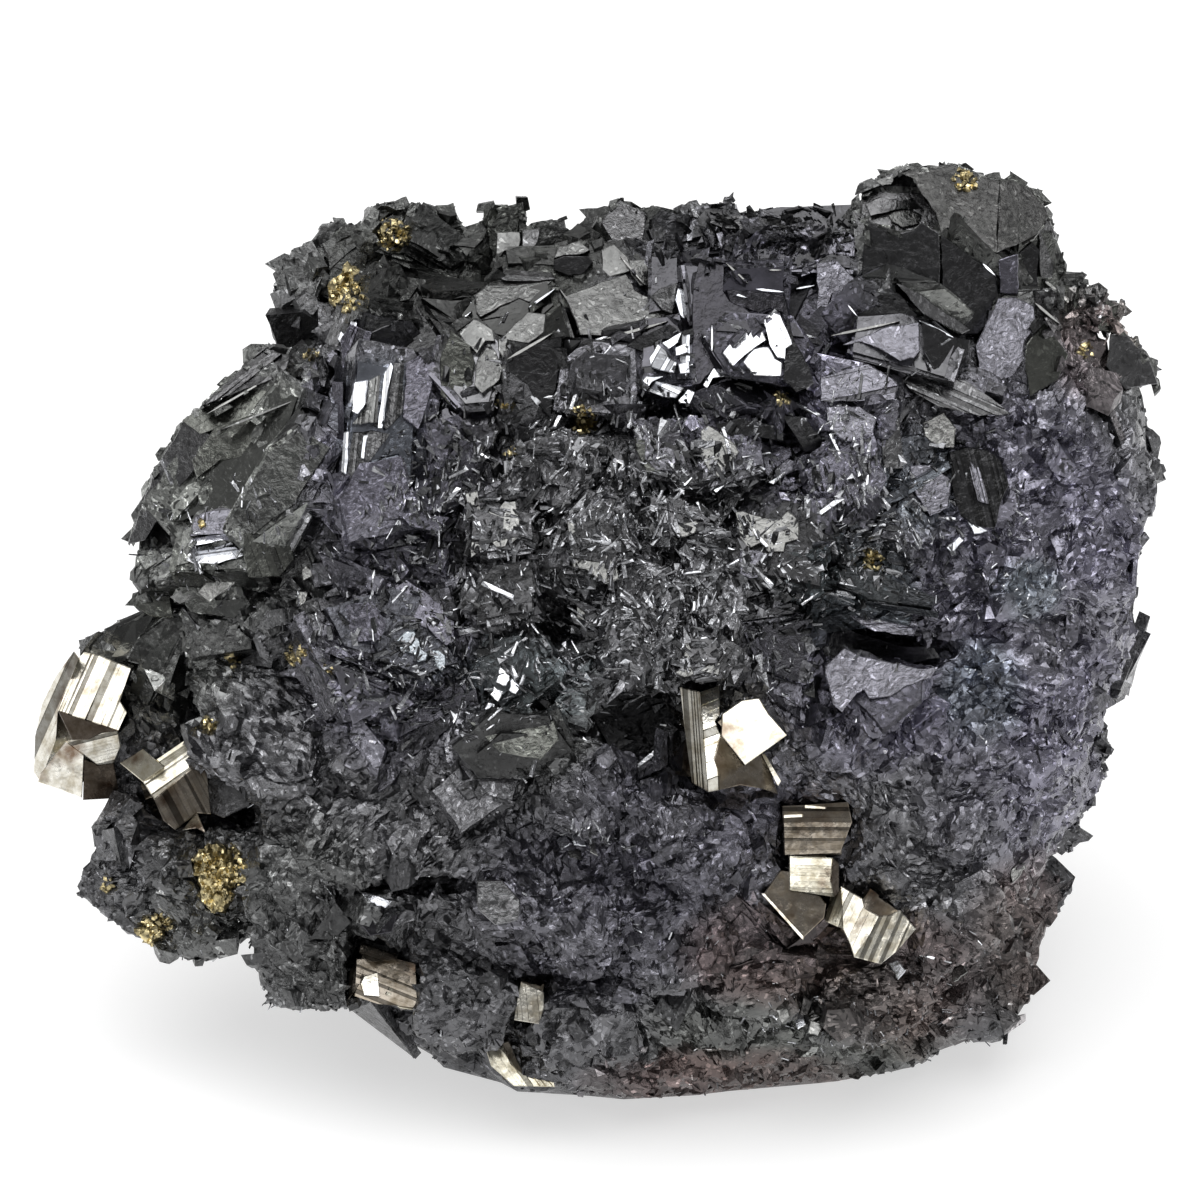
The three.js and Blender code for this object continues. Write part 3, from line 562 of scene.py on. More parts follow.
class Nodes:
    """The nodes of a material, made one by one round a principled shader."""

    def __init__(self, name):
        self.material = bpy.data.materials.new(name)
        self.material.use_nodes = True
        self.tree = self.material.node_tree
        self.tree.nodes.clear()
        self.place = self.add("ShaderNodeTexCoord").outputs["Object"]
        self.tint = self.add("ShaderNodeAttribute", attribute_name="tint").outputs
        self.shader = self.add("ShaderNodeBsdfPrincipled")
        self.add("ShaderNodeOutputMaterial", {"Surface": self.shader.outputs["BSDF"]})

    def add(self, kind, values=(), **settings):
        """A new node with its settings, and values for its inputs."""
        node = self.tree.nodes.new(kind)
        for key, value in settings.items():
            setattr(node, key, value)
        self.feed(node, dict(values))
        return node

    def feed(self, node, values):
        """Gives inputs of a node, by name or number, another node's output or a constant."""
        for key, value in values.items():
            if isinstance(value, bpy.types.NodeSocket):
                self.tree.links.new(value, node.inputs[key])
            else:
                node.inputs[key].default_value = value

    def noise(self, where, scale, detail, roughness=0.5):
        values = {"Vector": where, "Scale": scale, "Detail": detail, "Roughness": roughness}
        return self.add("ShaderNodeTexNoise", values).outputs

    def cells(self, where, scale):
        """A random colour for each small cell of space."""
        values = {"Vector": where, "Scale": scale}
        return self.add("ShaderNodeTexVoronoi", values, feature="F1").outputs["Color"]

    def carried(self, value, low, high, low_becomes=0, high_becomes=1):
        """A value carried from one range to another and kept inside it."""
        values = {"Value": value, "From Min": low, "From Max": high}
        values.update({"To Min": low_becomes, "To Max": high_becomes})
        return self.add("ShaderNodeMapRange", values).outputs["Result"]

    def product(self, first, second):
        return self.add("ShaderNodeMath", {0: first, 1: second}, operation="MULTIPLY").outputs["Value"]

    def scaled(self, vector, share):
        values = {0: vector, "Scale": share}
        return self.add("ShaderNodeVectorMath", values, operation="SCALE").outputs["Vector"]

    def combined(self, operation, first, second):
        values = {0: first, 1: second}
        return self.add("ShaderNodeVectorMath", values, operation=operation).outputs["Vector"]

    def hackly(self, scale, tilt):
        """The surface's normal, leaning its own way in each small cell, as broken cleavage does."""
        ways = self.combined("SUBTRACT", self.cells(self.place, scale), (0.5, 0.5, 0.5))
        normal = self.add("ShaderNodeNewGeometry").outputs["Normal"]
        leaning = self.combined("ADD", normal, self.scaled(ways, tilt))
        return self.add("ShaderNodeVectorMath", {0: leaning}, operation="NORMALIZE").outputs["Vector"]

    def bumpy(self, normal, height, distance, strength):
        values = {"Normal": normal, "Height": height, "Distance": distance, "Strength": strength}
        return self.add("ShaderNodeBump", values).outputs["Normal"]


# Scales of texture are in cells to the metre.
FLAKE_BRIGHTEST = 4.0  # the lightest flakes against the stone round them
# From each step on, how light the flakes are as a share of the brightest.
FLAKE_STEPS = ((0.0, 0.04), (0.08, 0.16), (0.18, 0.25), (0.82, 0.36), (0.93, 0.65), (0.975, 1.0))
SWIRL = 0.0025  # metres by which the flakes are drawn out


def flakes(nodes, where):
    """Small flakes and pits, some of them far lighter or darker than the rest; the darkest, the pits, are
    painted shade.
    """
    shade = nodes.add("ShaderNodeSeparateColor", {"Color": nodes.cells(where, 2900)}).outputs["Red"]
    steps = nodes.add("ShaderNodeValToRGB", {"Fac": shade})
    steps.color_ramp.interpolation = "CONSTANT"
    for at, value in FLAKE_STEPS:
        element = steps.color_ramp.elements.new(at) if at else steps.color_ramp.elements[0]
        element.color = (value, value, value, 1)
    steps.color_ramp.elements.remove(steps.color_ramp.elements[-1])
    return nodes.product(steps.outputs["Color"], FLAKE_BRIGHTEST)


def stone_material(name, rough_low, rough_high, metallic, tilt):
    """Black zinc blende: dark, brightly lustrous, with hackly cleavage too fine to be modelled.

    The tint's alpha is 1 on ordinary stone and lower on faces that are better polished.
    """
    nodes = Nodes(name)
    place, tint, alpha = nodes.place, nodes.tint["Color"], nodes.tint["Alpha"]
    patches = nodes.noise(place, 420, 6, 0.65)["Fac"]
    drift = nodes.scaled(nodes.noise(place, 520, 2)["Color"], SWIRL)
    swept = nodes.combined("ADD", place, drift)
    fleck = nodes.add("ShaderNodeMix", {"Factor": alpha, "A": 1.0, "B": flakes(nodes, swept)})
    lightness = nodes.product(nodes.carried(patches, 0.3, 0.7, 0.68, 1.3), fleck.outputs["Result"])
    unevenness = nodes.carried(nodes.noise(place, 260, 2)["Fac"], 0.42, 0.62, 0.1 * tilt, tilt)
    normal = nodes.hackly(2200, nodes.product(unevenness, alpha))
    look = {
        "Base Color": nodes.scaled(tint, lightness),
        "Metallic": metallic,
        "IOR": 2.37,
        "Roughness": nodes.product(nodes.carried(patches, 0.3, 0.7, rough_high, rough_low), alpha),
        "Normal": nodes.bumpy(normal, nodes.noise(swept, 1500, 6, 0.6)["Fac"], 0.0003, alpha),
    }
    nodes.feed(nodes.shader, look)
    return nodes.material


def metal_material(name, light, dark, brown, rough_low, rough_high, tilt, cell_scale):
    """A metallic mineral, mottled between a light and a dark colour, with a brown tarnish in places."""
    nodes = Nodes(name)
    mottle = nodes.noise(nodes.place, 700, 6, 0.7)["Fac"]
    colours = nodes.add("ShaderNodeValToRGB", {"Fac": mottle})
    for element, at, colour in zip(colours.color_ramp.elements, (0.36, 0.56), (dark, light)):
        element.position = at
        element.color = (*colour, 1)
    tarnish = nodes.carried(nodes.noise(nodes.place, 260, 5)["Fac"], 0.56, 0.72)
    parts = {"Factor": tarnish, "A": colours.outputs["Color"], "B": (*brown, 1)}
    mixed = nodes.add("ShaderNodeMix", parts, data_type="RGBA").outputs["Result"]
    look = {
        "Base Color": nodes.combined("MULTIPLY", mixed, nodes.tint["Color"]),
        "Metallic": 1.0,
        "Roughness": nodes.carried(mottle, 0.3, 0.65, rough_high, rough_low),
        "Normal": nodes.bumpy(
            nodes.hackly(cell_scale, tilt), nodes.noise(nodes.place, 3000, 4)["Fac"], 0.0001, 0.3
        ),
    }
    nodes.feed(nodes.shader, look)
    return nodes.material


BLENDE = stone_material("blende", rough_low=0.20, rough_high=0.38, metallic=0.85, tilt=0.45)
PYRITE = metal_material(
    "pyrite",
    light=(0.80, 0.74, 0.60),
    dark=(0.52, 0.45, 0.32),
    brown=(0.20, 0.13, 0.08),
    rough_low=0.22,
    rough_high=0.42,
    tilt=0.10,
    cell_scale=1500,
)
CHALCOPYRITE = metal_material(
    "chalcopyrite",
    light=(0.74, 0.63, 0.36),
    dark=(0.30, 0.25, 0.13),
    brown=(0.09, 0.075, 0.05),
    rough_low=0.22,
    rough_high=0.5,
    tilt=0.8,
    cell_scale=2200,
)

# ---------------------------------------------------------------- small crystals

TEMPLATES = 28  # different small crystals, each a pyramid cut off by a leaning plane
TEMPLATE_SIDES = (3, 4, 4, 5, 3, 6, 4)  # the numbers of sides that they take in turn
CUT_BETWEEN = (0.12, 0.96)  # how far up its sides the plane may cut a pyramid
RIDGES = 8  # different small ridges, for splinters
FLOOR_GAP = 0.2  # nothing that grows on the stone comes nearer to the floor
draws = np.random.default_rng(20)


def cut_pyramid(sides, apex, cut, lean):
    """Corners and triangles of a pyramid on a base of unit radius, cut by a leaning plane."""
    turns = (np.arange(sides) + draws.uniform(-0.25, 0.25, sides)) * 2 * math.pi / sides
    base = np.stack([np.cos(turns), np.sin(turns), np.zeros(sides)], axis=1)
    slope = np.array([math.cos(lean[0]), math.sin(lean[0])]) * lean[1]
    # Along the edge from a base corner to the apex, the cut lies where height = cut + slope . place.
    rise = apex[2] - slope @ apex[:2] + base[:, :2] @ slope
    share = (cut + base[:, :2] @ slope) / rise
    top = base + (apex - base) * np.clip(share, *CUT_BETWEEN)[:, None]
    corners = np.vstack([base, top])
    faces = []
    for i in range(sides):
        j = (i + 1) % sides
        faces += [[i, j, sides + j], [i, sides + j, sides + i]]
    for i in range(1, sides - 1):
        faces += [[0, i + 1, i], [sides, sides + i, sides + i + 1]]
    return corners, np.array(faces)


def crystal_kinds():
    """The corners and triangles of each template."""
    kinds = []
    for i in range(TEMPLATES):
        sides = TEMPLATE_SIDES[i % len(TEMPLATE_SIDES)]
        apex = np.array([*draws.uniform(-0.3, 0.3, 2), draws.uniform(1.6, 4.0)])
        lean = (draws.uniform(0, 2 * math.pi), draws.uniform(0.0, 0.55))
        kinds.append(cut_pyramid(sides, apex, 1.0, lean))
    return kinds


def ridge():
    """A splinter: a sharp ridge on a narrow base, with uneven ends."""
    left, right = draws.uniform(0.35, 0.95, 2)
    side = draws.uniform(-0.5, 0.5, 2)
    corners = np.array(
        [[-1, -0.6, 0], [1, -0.7, 0], [0.9, 0.7, 0], [-1, 0.6, 0], [-left, side[0], 1], [right, side[1], 0.8]]
    )
    faces = [[0, 2, 1], [0, 3, 2], [0, 1, 5], [0, 5, 4], [2, 3, 4], [2, 4, 5], [1, 2, 5], [3, 0, 4]]
    return corners, np.array(faces)


KINDS = crystal_kinds() + [ridge() for _ in range(RIDGES)]


def turned_about(axes, angles):
    """Rotation matrices about unit axes."""
    x, y, z = axes.T
    c, s = np.cos(angles), np.sin(angles)
    k = 1 - c
    rows = [
        [c + x * x * k, x * y * k - z * s, x * z * k + y * s],
        [y * x * k + z * s, c + y * y * k, y * z * k - x * s],
        [z * x * k - y * s, z * y * k + x * s, c + z * z * k],
    ]
    return np.moveaxis(np.array(rows), 2, 0)


class Solids:
    """Closed meshes gathered to be joined, each with its tints."""

    def __init__(self):
        self.points = []
        self.triangles = []
        self.tints = []
        self.count = 0

    def add(self, points, triangles, tints):
        self.points.append(points)
        self.triangles.append(np.array(triangles) + self.count)
        self.tints.append(tints)
        self.count += len(points)

    def add_shapes(self, kinds, places, frames, sizes, tints):
        """One small shape at each place. frames holds, for each, rows that are its own x, y and z axes."""
        for kind in np.unique(kinds):
            mine = kinds == kind
            corners, faces = KINDS[kind]
            local = corners[None] * sizes[mine][:, None]
            points = places[mine][:, None] + np.einsum("nvi,nij->nvj", local, frames[mine])
            firsts = np.arange(len(points)) * len(corners)
            triangles = faces[None] + firsts[:, None, None]
            own_tints = np.repeat(tints[mine], len(corners), axis=0)
            self.add(points.reshape(-1, 3), triangles.reshape(-1, 3), own_tints)

    def piece(self, name, material, slot):
        points, triangles = np.vstack(self.points), np.vstack(self.triangles)
        return add_piece(name, points, triangles, material, np.vstack(self.tints))


class Ground:
    """The surface that small crystals grow on."""

    def __init__(self, points, triangles, facets, number):
        self.points = points
        self.triangles = triangles
        self.facets = facets
        self.number = number  # of the facet that each triangle belongs to
        self.normal, self.area = triangle_normals(points, triangles)
        self.middle = points[triangles].mean(axis=1)

    def places(self, count, density):
        """Random places on the triangles, with their normals."""
        places, chosen = self.scatter(count, density)
        return places, self.normal[chosen]

    def scatter(self, count, density):
        """Random places on the triangles, with their triangle numbers."""
        weight = self.area * density
        chosen = draws.choice(len(weight), count, p=weight / weight.sum())
        a, b = draws.random((2, count))
        over = a + b > 1
        a[over], b[over] = 1 - a[over], 1 - b[over]
        corners = self.points[self.triangles[chosen]]
        places = corners[:, 0] + a[:, None] * (corners[:, 1] - corners[:, 0])
        return places + b[:, None] * (corners[:, 2] - corners[:, 0]), chosen


SHARED_LEANINGS = 3  # the ways that the crystals on one facet lean
OWN_LEANING = 0.15  # and how much each adds of its own
WILD_TURN = (0.3, 1.6)  # radians by which the wild ones are turned
WIDTH_BIAS = 1.6  # the higher, the fewer are wide
STRETCH = (0.7, 1.6)  # length against width


def grow(name, ground, count, density, width, flatness, jitter, wild, sunk, spared=True):
    """Crystals scattered on the ground.

    width gives the least and the greatest half width, and flatness the height as a share of it.
    jitter is how far, in radians, they lean from the facet, wild the share that lie anyhow, and
    sunk how much of the height is in the ground. spared keeps them off the listed crystal faces.
    """
    places, chosen = ground.scatter(count, density)
    facet = ground.number[chosen]
    normal = ground.facets.normal[facet]
    along = ground.facets.along[facet]
    beside = np.cross(normal, along)
    frames = np.stack([along, beside, normal], axis=1)
    # Crystals on one facet share a few leanings, so that they flash together.
    shared = np.stack([facet, draws.integers(0, SHARED_LEANINGS, count), np.zeros(count, int)], axis=1)
    common = np.stack([hashed(shared, 50 + i) for i in range(3)], axis=1) * 2 - 1
    own = draws.normal(size=(count, 3))
    is_wild = draws.random(count) < wild
    axis = unit(np.where(is_wild[:, None], own, common + OWN_LEANING * own))
    angle = np.where(is_wild, draws.uniform(*WILD_TURN, count), jitter * draws.uniform(0.3, 1, count))
    frames = np.einsum("nij,njk->nik", frames, turned_about(axis, angle))
    least, greatest = width
    half = least * (greatest / least) ** (draws.random(count) ** WIDTH_BIAS)
    stretch = draws.uniform(*STRETCH, count)
    height = half * draws.uniform(*flatness, count)
    sizes = np.stack([half * stretch, half / np.sqrt(stretch), height], axis=1)
    places = places - frames[:, 2] * (height * draws.uniform(*sunk, count))[:, None]
    tints = stone_tint(places, draws.random(count))
    kinds = draws.integers(0, TEMPLATES, count)
    clear = places[:, 2] - sizes.max(axis=1) > FLOOR_GAP
    if spared:
        clear &= ~near_faces(places, 0.1 + 0.5 * least)
    clear &= [GOLD.find_nearest(Vector(place), GOLD_MARGIN)[0] is None for place in places]
    solids = Solids()
    solids.add_shapes(kinds[clear], places[clear], frames[clear], sizes[clear], tints[clear])
    solids.piece(name, BLENDE, "sphalerite")


DRIFT = 9  # over about this distance the way the splinters lie drifts round


def flow_along(places, normal):
    """A direction in the surface at each place, which changes slowly from place to place."""
    bearing = 2 * math.pi * (mist(places, DRIFT, 91) + 0.6 * mist(places, DRIFT / 2.5, 92))
    helper = np.stack([np.cos(bearing), 0.3 * np.ones(len(places)), np.sin(bearing)], axis=1)
    return unit(np.cross(normal, helper))


GLINT_TURN = 2.6  # how far glinting slivers turn from the surface towards the way they share
GLINT_POLISH = 0.35
GLINT_THICKNESS = 0.5  # their height as a share of their half width
SPLINTER_THICKNESS = (0.8, 2.2)  # and that of the other splinters
SPLINTER_SUNK = (0.15, 0.5)  # how much of the height is in the ground
SPLINTER_WANDER = 0.28  # how far a splinter strays from the drift
LENGTH_BIAS = 1.8  # the higher, the fewer are long
CRACK_SHADE_SHARE, CRACK_SHADE_LIGHT, PLAIN_SPLINTER = 0.35, 0.15, 0.8  # the share darkened with painted shade standing for cracks, and the lightness of both kinds


def strew(name, places, normal, length, slimness, jitter, glint=None):
    """Splinters that lie on a surface with the drift of its grain.

    length gives the least and the greatest half length, slimness the half width as a share of it,
    and glint colours of their own.
    """
    count = len(places)
    if glint is not None:
        normal = unit(normal + GLINT_TURN * GLINT_WAY)
    normal = unit(normal + draws.normal(size=(count, 3)) * jitter)
    along = unit(flow_along(places, normal) + draws.normal(size=(count, 3)) * SPLINTER_WANDER)
    along = unit(along - normal * (along * normal).sum(axis=1, keepdims=True))
    frames = np.stack([along, np.cross(normal, along), normal], axis=1)
    least, greatest = length
    half = least * (greatest / least) ** (draws.random(count) ** LENGTH_BIAS)
    width = half * draws.uniform(*slimness, count)
    height = width * (draws.uniform(*SPLINTER_THICKNESS, count) if glint is None else GLINT_THICKNESS)
    sizes = np.stack([half, width, height], axis=1)
    places = places - normal * (height * draws.uniform(*SPLINTER_SUNK, count))[:, None]
    tints = stone_tint(places, 1 - draws.random(count) ** 2 * 0.9)
    # painted shade: a share of the splinters darkened to stand for cracks
    tints *= np.where(draws.random(count) < CRACK_SHADE_SHARE, CRACK_SHADE_LIGHT, PLAIN_SPLINTER)[:, None]
    if glint is not None:
        tints = np.hstack([glint, np.full((count, 1), GLINT_POLISH)])
    kinds = TEMPLATES + draws.integers(0, RIDGES, count)
    clear = places[:, 2] - half > FLOOR_GAP
    solids = Solids()
    solids.add_shapes(kinds[clear], places[clear], frames[clear], sizes[clear], tints[clear])
    solids.piece(name, BLENDE, "sphalerite")


GLINT = np.array([0.75, 0.76, 0.80])  # the lightest sliver's colour


def glint_tints(count, least, most):
    """Lightness drawn for each sliver, with few near the most."""
    return GLINT * (least + (most - least) * draws.random((count, 1)) ** 2)


# Where bright slivers gather: [across, up, half width, half height, how many].
GLINT_PATCHES = [
    [3, 12, 12, 8, 1.2],
    [8, 3, 10, 8, 1.0],
    [-9, -7, 2.6, 2.6, 9.0],
    [-5, -4, 5, 5, 1.2],
    [-1.5, -23.5, 2.2, 1.8, 8.0],
    [25, 2, 8, 3, 1.6],
    [39, 9, 4, 6, 1.4],
    [8.5, 27, 1.2, 5, 5.0],
    [-12, 14, 5, 5, 0.8],
    [30, 8, 8, 8, 0.8],
    [44, 1, 4, 4, 1.0],
    [-26, -31, 4, 3, 0.8],
    [22, -42, 8, 3, 1.0],
    [36, -38, 5, 5, 1.2],
    [-16, -8, 6, 6, 0.6],
    [46, -20, 8, 10, 0.5],
    [27, 29.6, 4, 1.8, 3.0],
    [33, 14, 8, 5, 0.8],
    [-33, -2, 5, 5, 0.5],
    [10, -30, 16, 8, 0.3],
]
# Where longer slivers lie, in the same way. The first few carry flakes too.
SLIVER_PATCHES = [
    [4, 10, 14, 12, 1.0],
    [-15, 10, 6, 10, 0.7],
    [8, -2, 12, 8, 1.0],
    [27, 8, 8, 8, 0.8],
    [-20, -6, 8, 7, 0.6],
    [-8, -8, 8, 7, 0.6],
    [-40, 6, 8, 6, 0.5],
    [28, 20, 8, 4, 0.6],
]
FLAKE_PATCHES = SLIVER_PATCHES[:5]
# The ledge between the notch and the great crystal, and the right shoulder.
LEDGE_PATCHES = [[17, 36.5, 7, 2.4, 1], [49, 29, 4, 2, 0.6]]
PATCH_SPREAD = 0.6  # how widely things lie about a patch's middle, as a share of its half sizes


def seen_places(tree, count, patches):
    """Random places where lines of sight meet the crust, gathered in the patches, and its normals."""
    rows = np.array(patches)
    weight = rows[:, 2] * rows[:, 3] * rows[:, 4]
    chosen = rows[draws.choice(len(rows), count, p=weight / weight.sum())]
    seen = chosen[:, :2] + draws.normal(size=(count, 2)) * chosen[:, 2:4] * PATCH_SPREAD
    ways = unit(sight_lines(seen))
    hits = [tree.ray_cast(Vector(EYE), Vector(way))[:2] for way in ways]
    hits = [(place, normal) for place, normal in hits if place is not None]
    normals = np.array([normal for _, normal in hits])
    normals *= np.sign(normals @ OUT)[:, None]
    return np.array([place for place, _ in hits]), normals


# ---------------------------------------------------------------- cleavage plates

PLATE_SPREAD = 0.4  # how unlike each other the plates are in lightness
PLATE_LIGHTNESS = (0.4, 2.2)  # and the least and the most of it
PLATE_ROOT = 0.35  # a plate reaches this far down into what it lies on
PLATE_FLOOR_GAP = 0.15  # and stays this far over the floor
PLATE_FRAY = 0.16  # how far a plate's broken edge wanders
PLATE_STRAY = 0.2  # how far a plate's middle strays from the facet's, as a share of the facet's breadth
PLATE_BEVEL = 0.3  # how far its top draws in, as a share of its height
MOST_CUTS = 3  # sides of a plate may be cut away
CUT_AT = (0.05, 0.5)  # this far from its middle, as a share of the facet's breadth
CUT_SKEW = 0.1
LIT_PLATE_SHADE = 0.5  # how much darker the plates are that look the way the glints do: painted shade over their highlight
LIT_PLATE_SHADE_FROM, LIT_PLATE_SHADE_OVER = 0.86, 0.12  # the cosine from which they darken, and the rest of the way


def reach_in_plane(rim, centre, ways):
    """How far a ray goes from the centre along each way before it leaves the facet."""
    start, end = rim[:, 0] - centre, rim[:, 1] - centre
    span = end - start
    # way * t = start + span * s, for each way and each edge of the rim.
    cross = ways[:, None, 0] * span[None, :, 1] - ways[:, None, 1] * span[None, :, 0]
    cross = np.where(np.abs(cross) < 1e-9, 1e-9, cross)
    t = (start[None, :, 0] * span[None, :, 1] - start[None, :, 1] * span[None, :, 0]) / cross
    s = (start[None, :, 0] * ways[:, None, 1] - start[None, :, 1] * ways[:, None, 0]) / cross
    hit = (t > 1e-6) & (s >= -1e-6) & (s <= 1 + 1e-6)
    reach = np.where(hit, t, np.inf).min(axis=1)
    return np.where(np.isfinite(reach), reach, 0)


def outline_from(rim, centre):
    """The facet's outline as its corners are seen from a point in it."""
    away = rim[:, 0] - centre
    distance = np.linalg.norm(away, axis=1)
    ways = away[distance > 0.05] / distance[distance > 0.05][:, None]
    ways = ways[np.argsort(np.arctan2(ways[:, 1], ways[:, 0]))]
    if len(ways) < 3:
        return None
    room = reach_in_plane(rim, centre, ways)
    return ways * room[:, None] if room.min() > 0.1 else None


def clipped(outline, facing, line):
    """The part of an outline where outline . facing is under the line."""
    height = outline @ facing - line
    kept = []
    for i in range(len(outline)):
        j = (i + 1) % len(outline)
        if height[i] <= 0:
            kept.append(outline[i])
        if (height[i] <= 0) != (height[j] <= 0):
            share = height[i] / (height[i] - height[j])
            kept.append(outline[i] + share * (outline[j] - outline[i]))
    return np.array(kept)


def frayed(outline, step):
    """An outline with its long sides broken into short, slightly uneven ones."""
    made = []
    for i in range(len(outline)):
        start, end = outline[i], outline[(i + 1) % len(outline)]
        length = np.linalg.norm(end - start)
        made.append(start)
        pieces = int(length / step)
        for k in range(1, pieces):
            inward = -(start + end) / 2
            inward = inward / max(np.linalg.norm(inward), 1e-6)
            made.append(start + (end - start) * k / pieces + inward * draws.uniform(0, PLATE_FRAY))
    return np.array(made)


def prism(low, high):
    """A closed prism between two rings of corners, with a point in the middle of each end."""
    sides = len(low)
    ring = np.arange(sides)
    following = (ring + 1) % sides
    low_middle = np.full(sides, 2 * sides)
    corners = [
        (ring, following, sides + following),
        (ring, sides + following, sides + ring),
        (following, ring, low_middle),
        (sides + ring, sides + following, low_middle + 1),
    ]
    points = np.vstack([low, high, low.mean(axis=0), high.mean(axis=0)])
    return points, np.vstack([np.stack(three, axis=1) for three in corners])


def cut_down(outline, breadth):
    """An outline with some of its sides cut away, each at some distance from the middle."""
    for _ in range(draws.integers(1, MOST_CUTS + 1)):
        i = draws.integers(len(outline))
        edge = outline[(i + 1) % len(outline)] - outline[i]
        facing = np.array([edge[1], -edge[0]]) / max(np.linalg.norm(edge), 1e-6)
        facing = facing + draws.normal(size=2) * CUT_SKEW
        cut = clipped(outline, facing, draws.uniform(*CUT_AT) * breadth)
        if len(cut) >= 3:
            outline = cut
    return outline


def plate(facets, facet, rim, share, tilt, thick, fray):
    """The lower and upper ring of one plate on a facet and its normal, or None where it has no room."""
    breadth = math.sqrt(facets.area[facet])
    plane = np.stack([facets.along[facet], facets.beside[facet]])
    normal = facets.normal[facet]
    centre = draws.normal(size=2) * breadth * PLATE_STRAY
    outline = outline_from(rim, centre)
    if outline is None:
        return None
    outline = frayed(cut_down(outline * draws.uniform(*share), breadth), fray)
    height = draws.uniform(*thick)
    slope = draws.normal(size=2) * math.tan(math.radians(tilt))
    reach = np.maximum(np.linalg.norm(outline, axis=1), 1e-6)
    inset = outline * (np.maximum(reach - PLATE_BEVEL * height, 0.3 * reach) / reach)[:, None]
    lift = np.maximum(height + inset @ slope, -0.5 * PLATE_ROOT)
    low = facets.middle[facet] + (centre + outline) @ plane - normal * PLATE_ROOT
    high = facets.middle[facet] + (centre + inset) @ plane + normal * lift[:, None]
    if min(low[:, 2].min(), high[:, 2].min()) <= PLATE_FLOOR_GAP:
        return None
    return low, high, normal


def plate_tints(middles, normals, polish):
    """Colour and polish of each plate, with painted shade on those that look the way of the glints."""
    tints = stone_tint(middles, draws.random(len(middles)) * 0.93)
    flashing = np.clip((normals @ GLINT_WAY - LIT_PLATE_SHADE_FROM) / LIT_PLATE_SHADE_OVER, 0, 1)
    # painted shade on plates that face the way of the glints
    tints *= 1 - LIT_PLATE_SHADE * flashing[:, None]
    tints *= np.clip(np.exp(draws.normal(size=(len(middles), 1)) * PLATE_SPREAD), *PLATE_LIGHTNESS)
    return np.hstack([tints, polish[0] + (polish[1] - polish[0]) * draws.random((len(middles), 1))])


def lay_plates(name, chosen, per_facet, share, tilt, thick, fray, polish):
    """One piece of cleavage plates on the chosen facets of the mass.

    per_facet is the least and the most of them, share how near the facet's edge they reach, tilt in
    degrees, thick their height over the facet, and fray the step between the turns of their edges.
    """
    made = []
    for facet in chosen:
        rim = mass_facets.rim_in_plane(facet)
        if len(rim) < 3:
            continue
        for _ in range(draws.integers(per_facet[0], per_facet[1] + 1)):
            made.append(plate(mass_facets, facet, rim, share, tilt, thick, fray))
    lows, highs, normals = zip(*[one for one in made if one is not None])
    middles = np.array([high.mean(axis=0) for high in highs])
    seen = np.flatnonzero(~near_faces(middles, 0.2))
    tints = plate_tints(middles[seen], np.array(normals)[seen], polish)
    solids = Solids()
    for i, tint in zip(seen, tints):
        points, triangles = prism(lows[i], highs[i])
        solids.add(points, triangles, np.repeat(tint[None], len(points), axis=0))
    solids.piece(name, BLENDE, "sphalerite")


# ---------------------------------------------------------------- the faces of single crystals

# Colour as reflectance, and polish from 1 (ordinary) to 0 (mirror). dark and shade are darker
# copies of the stone, painted shade on faces turned from the light; pale, silver and white are
# lighter copies, a painted highlight on faces that catch it.
TONES_AND_PAINTED_LIGHT = {
    "stone": ((0.090, 0.090, 0.093), 0.4),
    "dark": ((0.030, 0.030, 0.032), 0.4),
    "olive": ((0.082, 0.085, 0.076), 0.4),
    "purple": ((0.090, 0.087, 0.108), 0.45),
    "lilac": ((0.120, 0.118, 0.138), 0.5),
    "grey": ((0.100, 0.101, 0.099), 0.4),
    "shade": ((0.016, 0.015, 0.020), 0.3),
    "cap": ((0.034, 0.034, 0.033), 0.7),
    "pale": ((0.145, 0.145, 0.14), 0.3),
    "blue": ((0.21, 0.23, 0.25), 0.4),
    "silver": ((0.42, 0.43, 0.46), 0.35),
    "white": ((0.72, 0.73, 0.77), 0.3),
}

UNBROKEN = 20  # a step so long that a face's edges stay straight


def face(tone_and_painted_light, lean, turn, *outline, proud=0.8, depth=5, bands=None, ragged=0.9, grooves=0.22):
    """A flat crystal face seen as an outline of (across, up) corners, in millimetres.

    lean is how far it looks upwards and turn how far to the right, in degrees. It stands proud of
    what is behind it, and its crystal goes back by the depth. bands gives striations: the way they
    run, in degrees up from across, and the narrowest and the widest. grooves is the share of them
    that are grooves, sunk a little and darkened with painted shade. ragged is the step between the
    small wanderings of its broken edges.
    """
    return {
        "tone_and_painted_light": tone_and_painted_light,
        "lean": lean,
        "turn": turn,
        "outline": outline,
        "proud": proud,
        "depth": depth,
        "bands": bands,
        "ragged": ragged,
        "grooves": grooves,
    }


def chip(tone_and_painted_light, lean, turn, *outline):
    """A crystal of one small, thin face."""
    return [face(tone_and_painted_light, lean, turn, *outline, depth=1.5, ragged=0.4)]


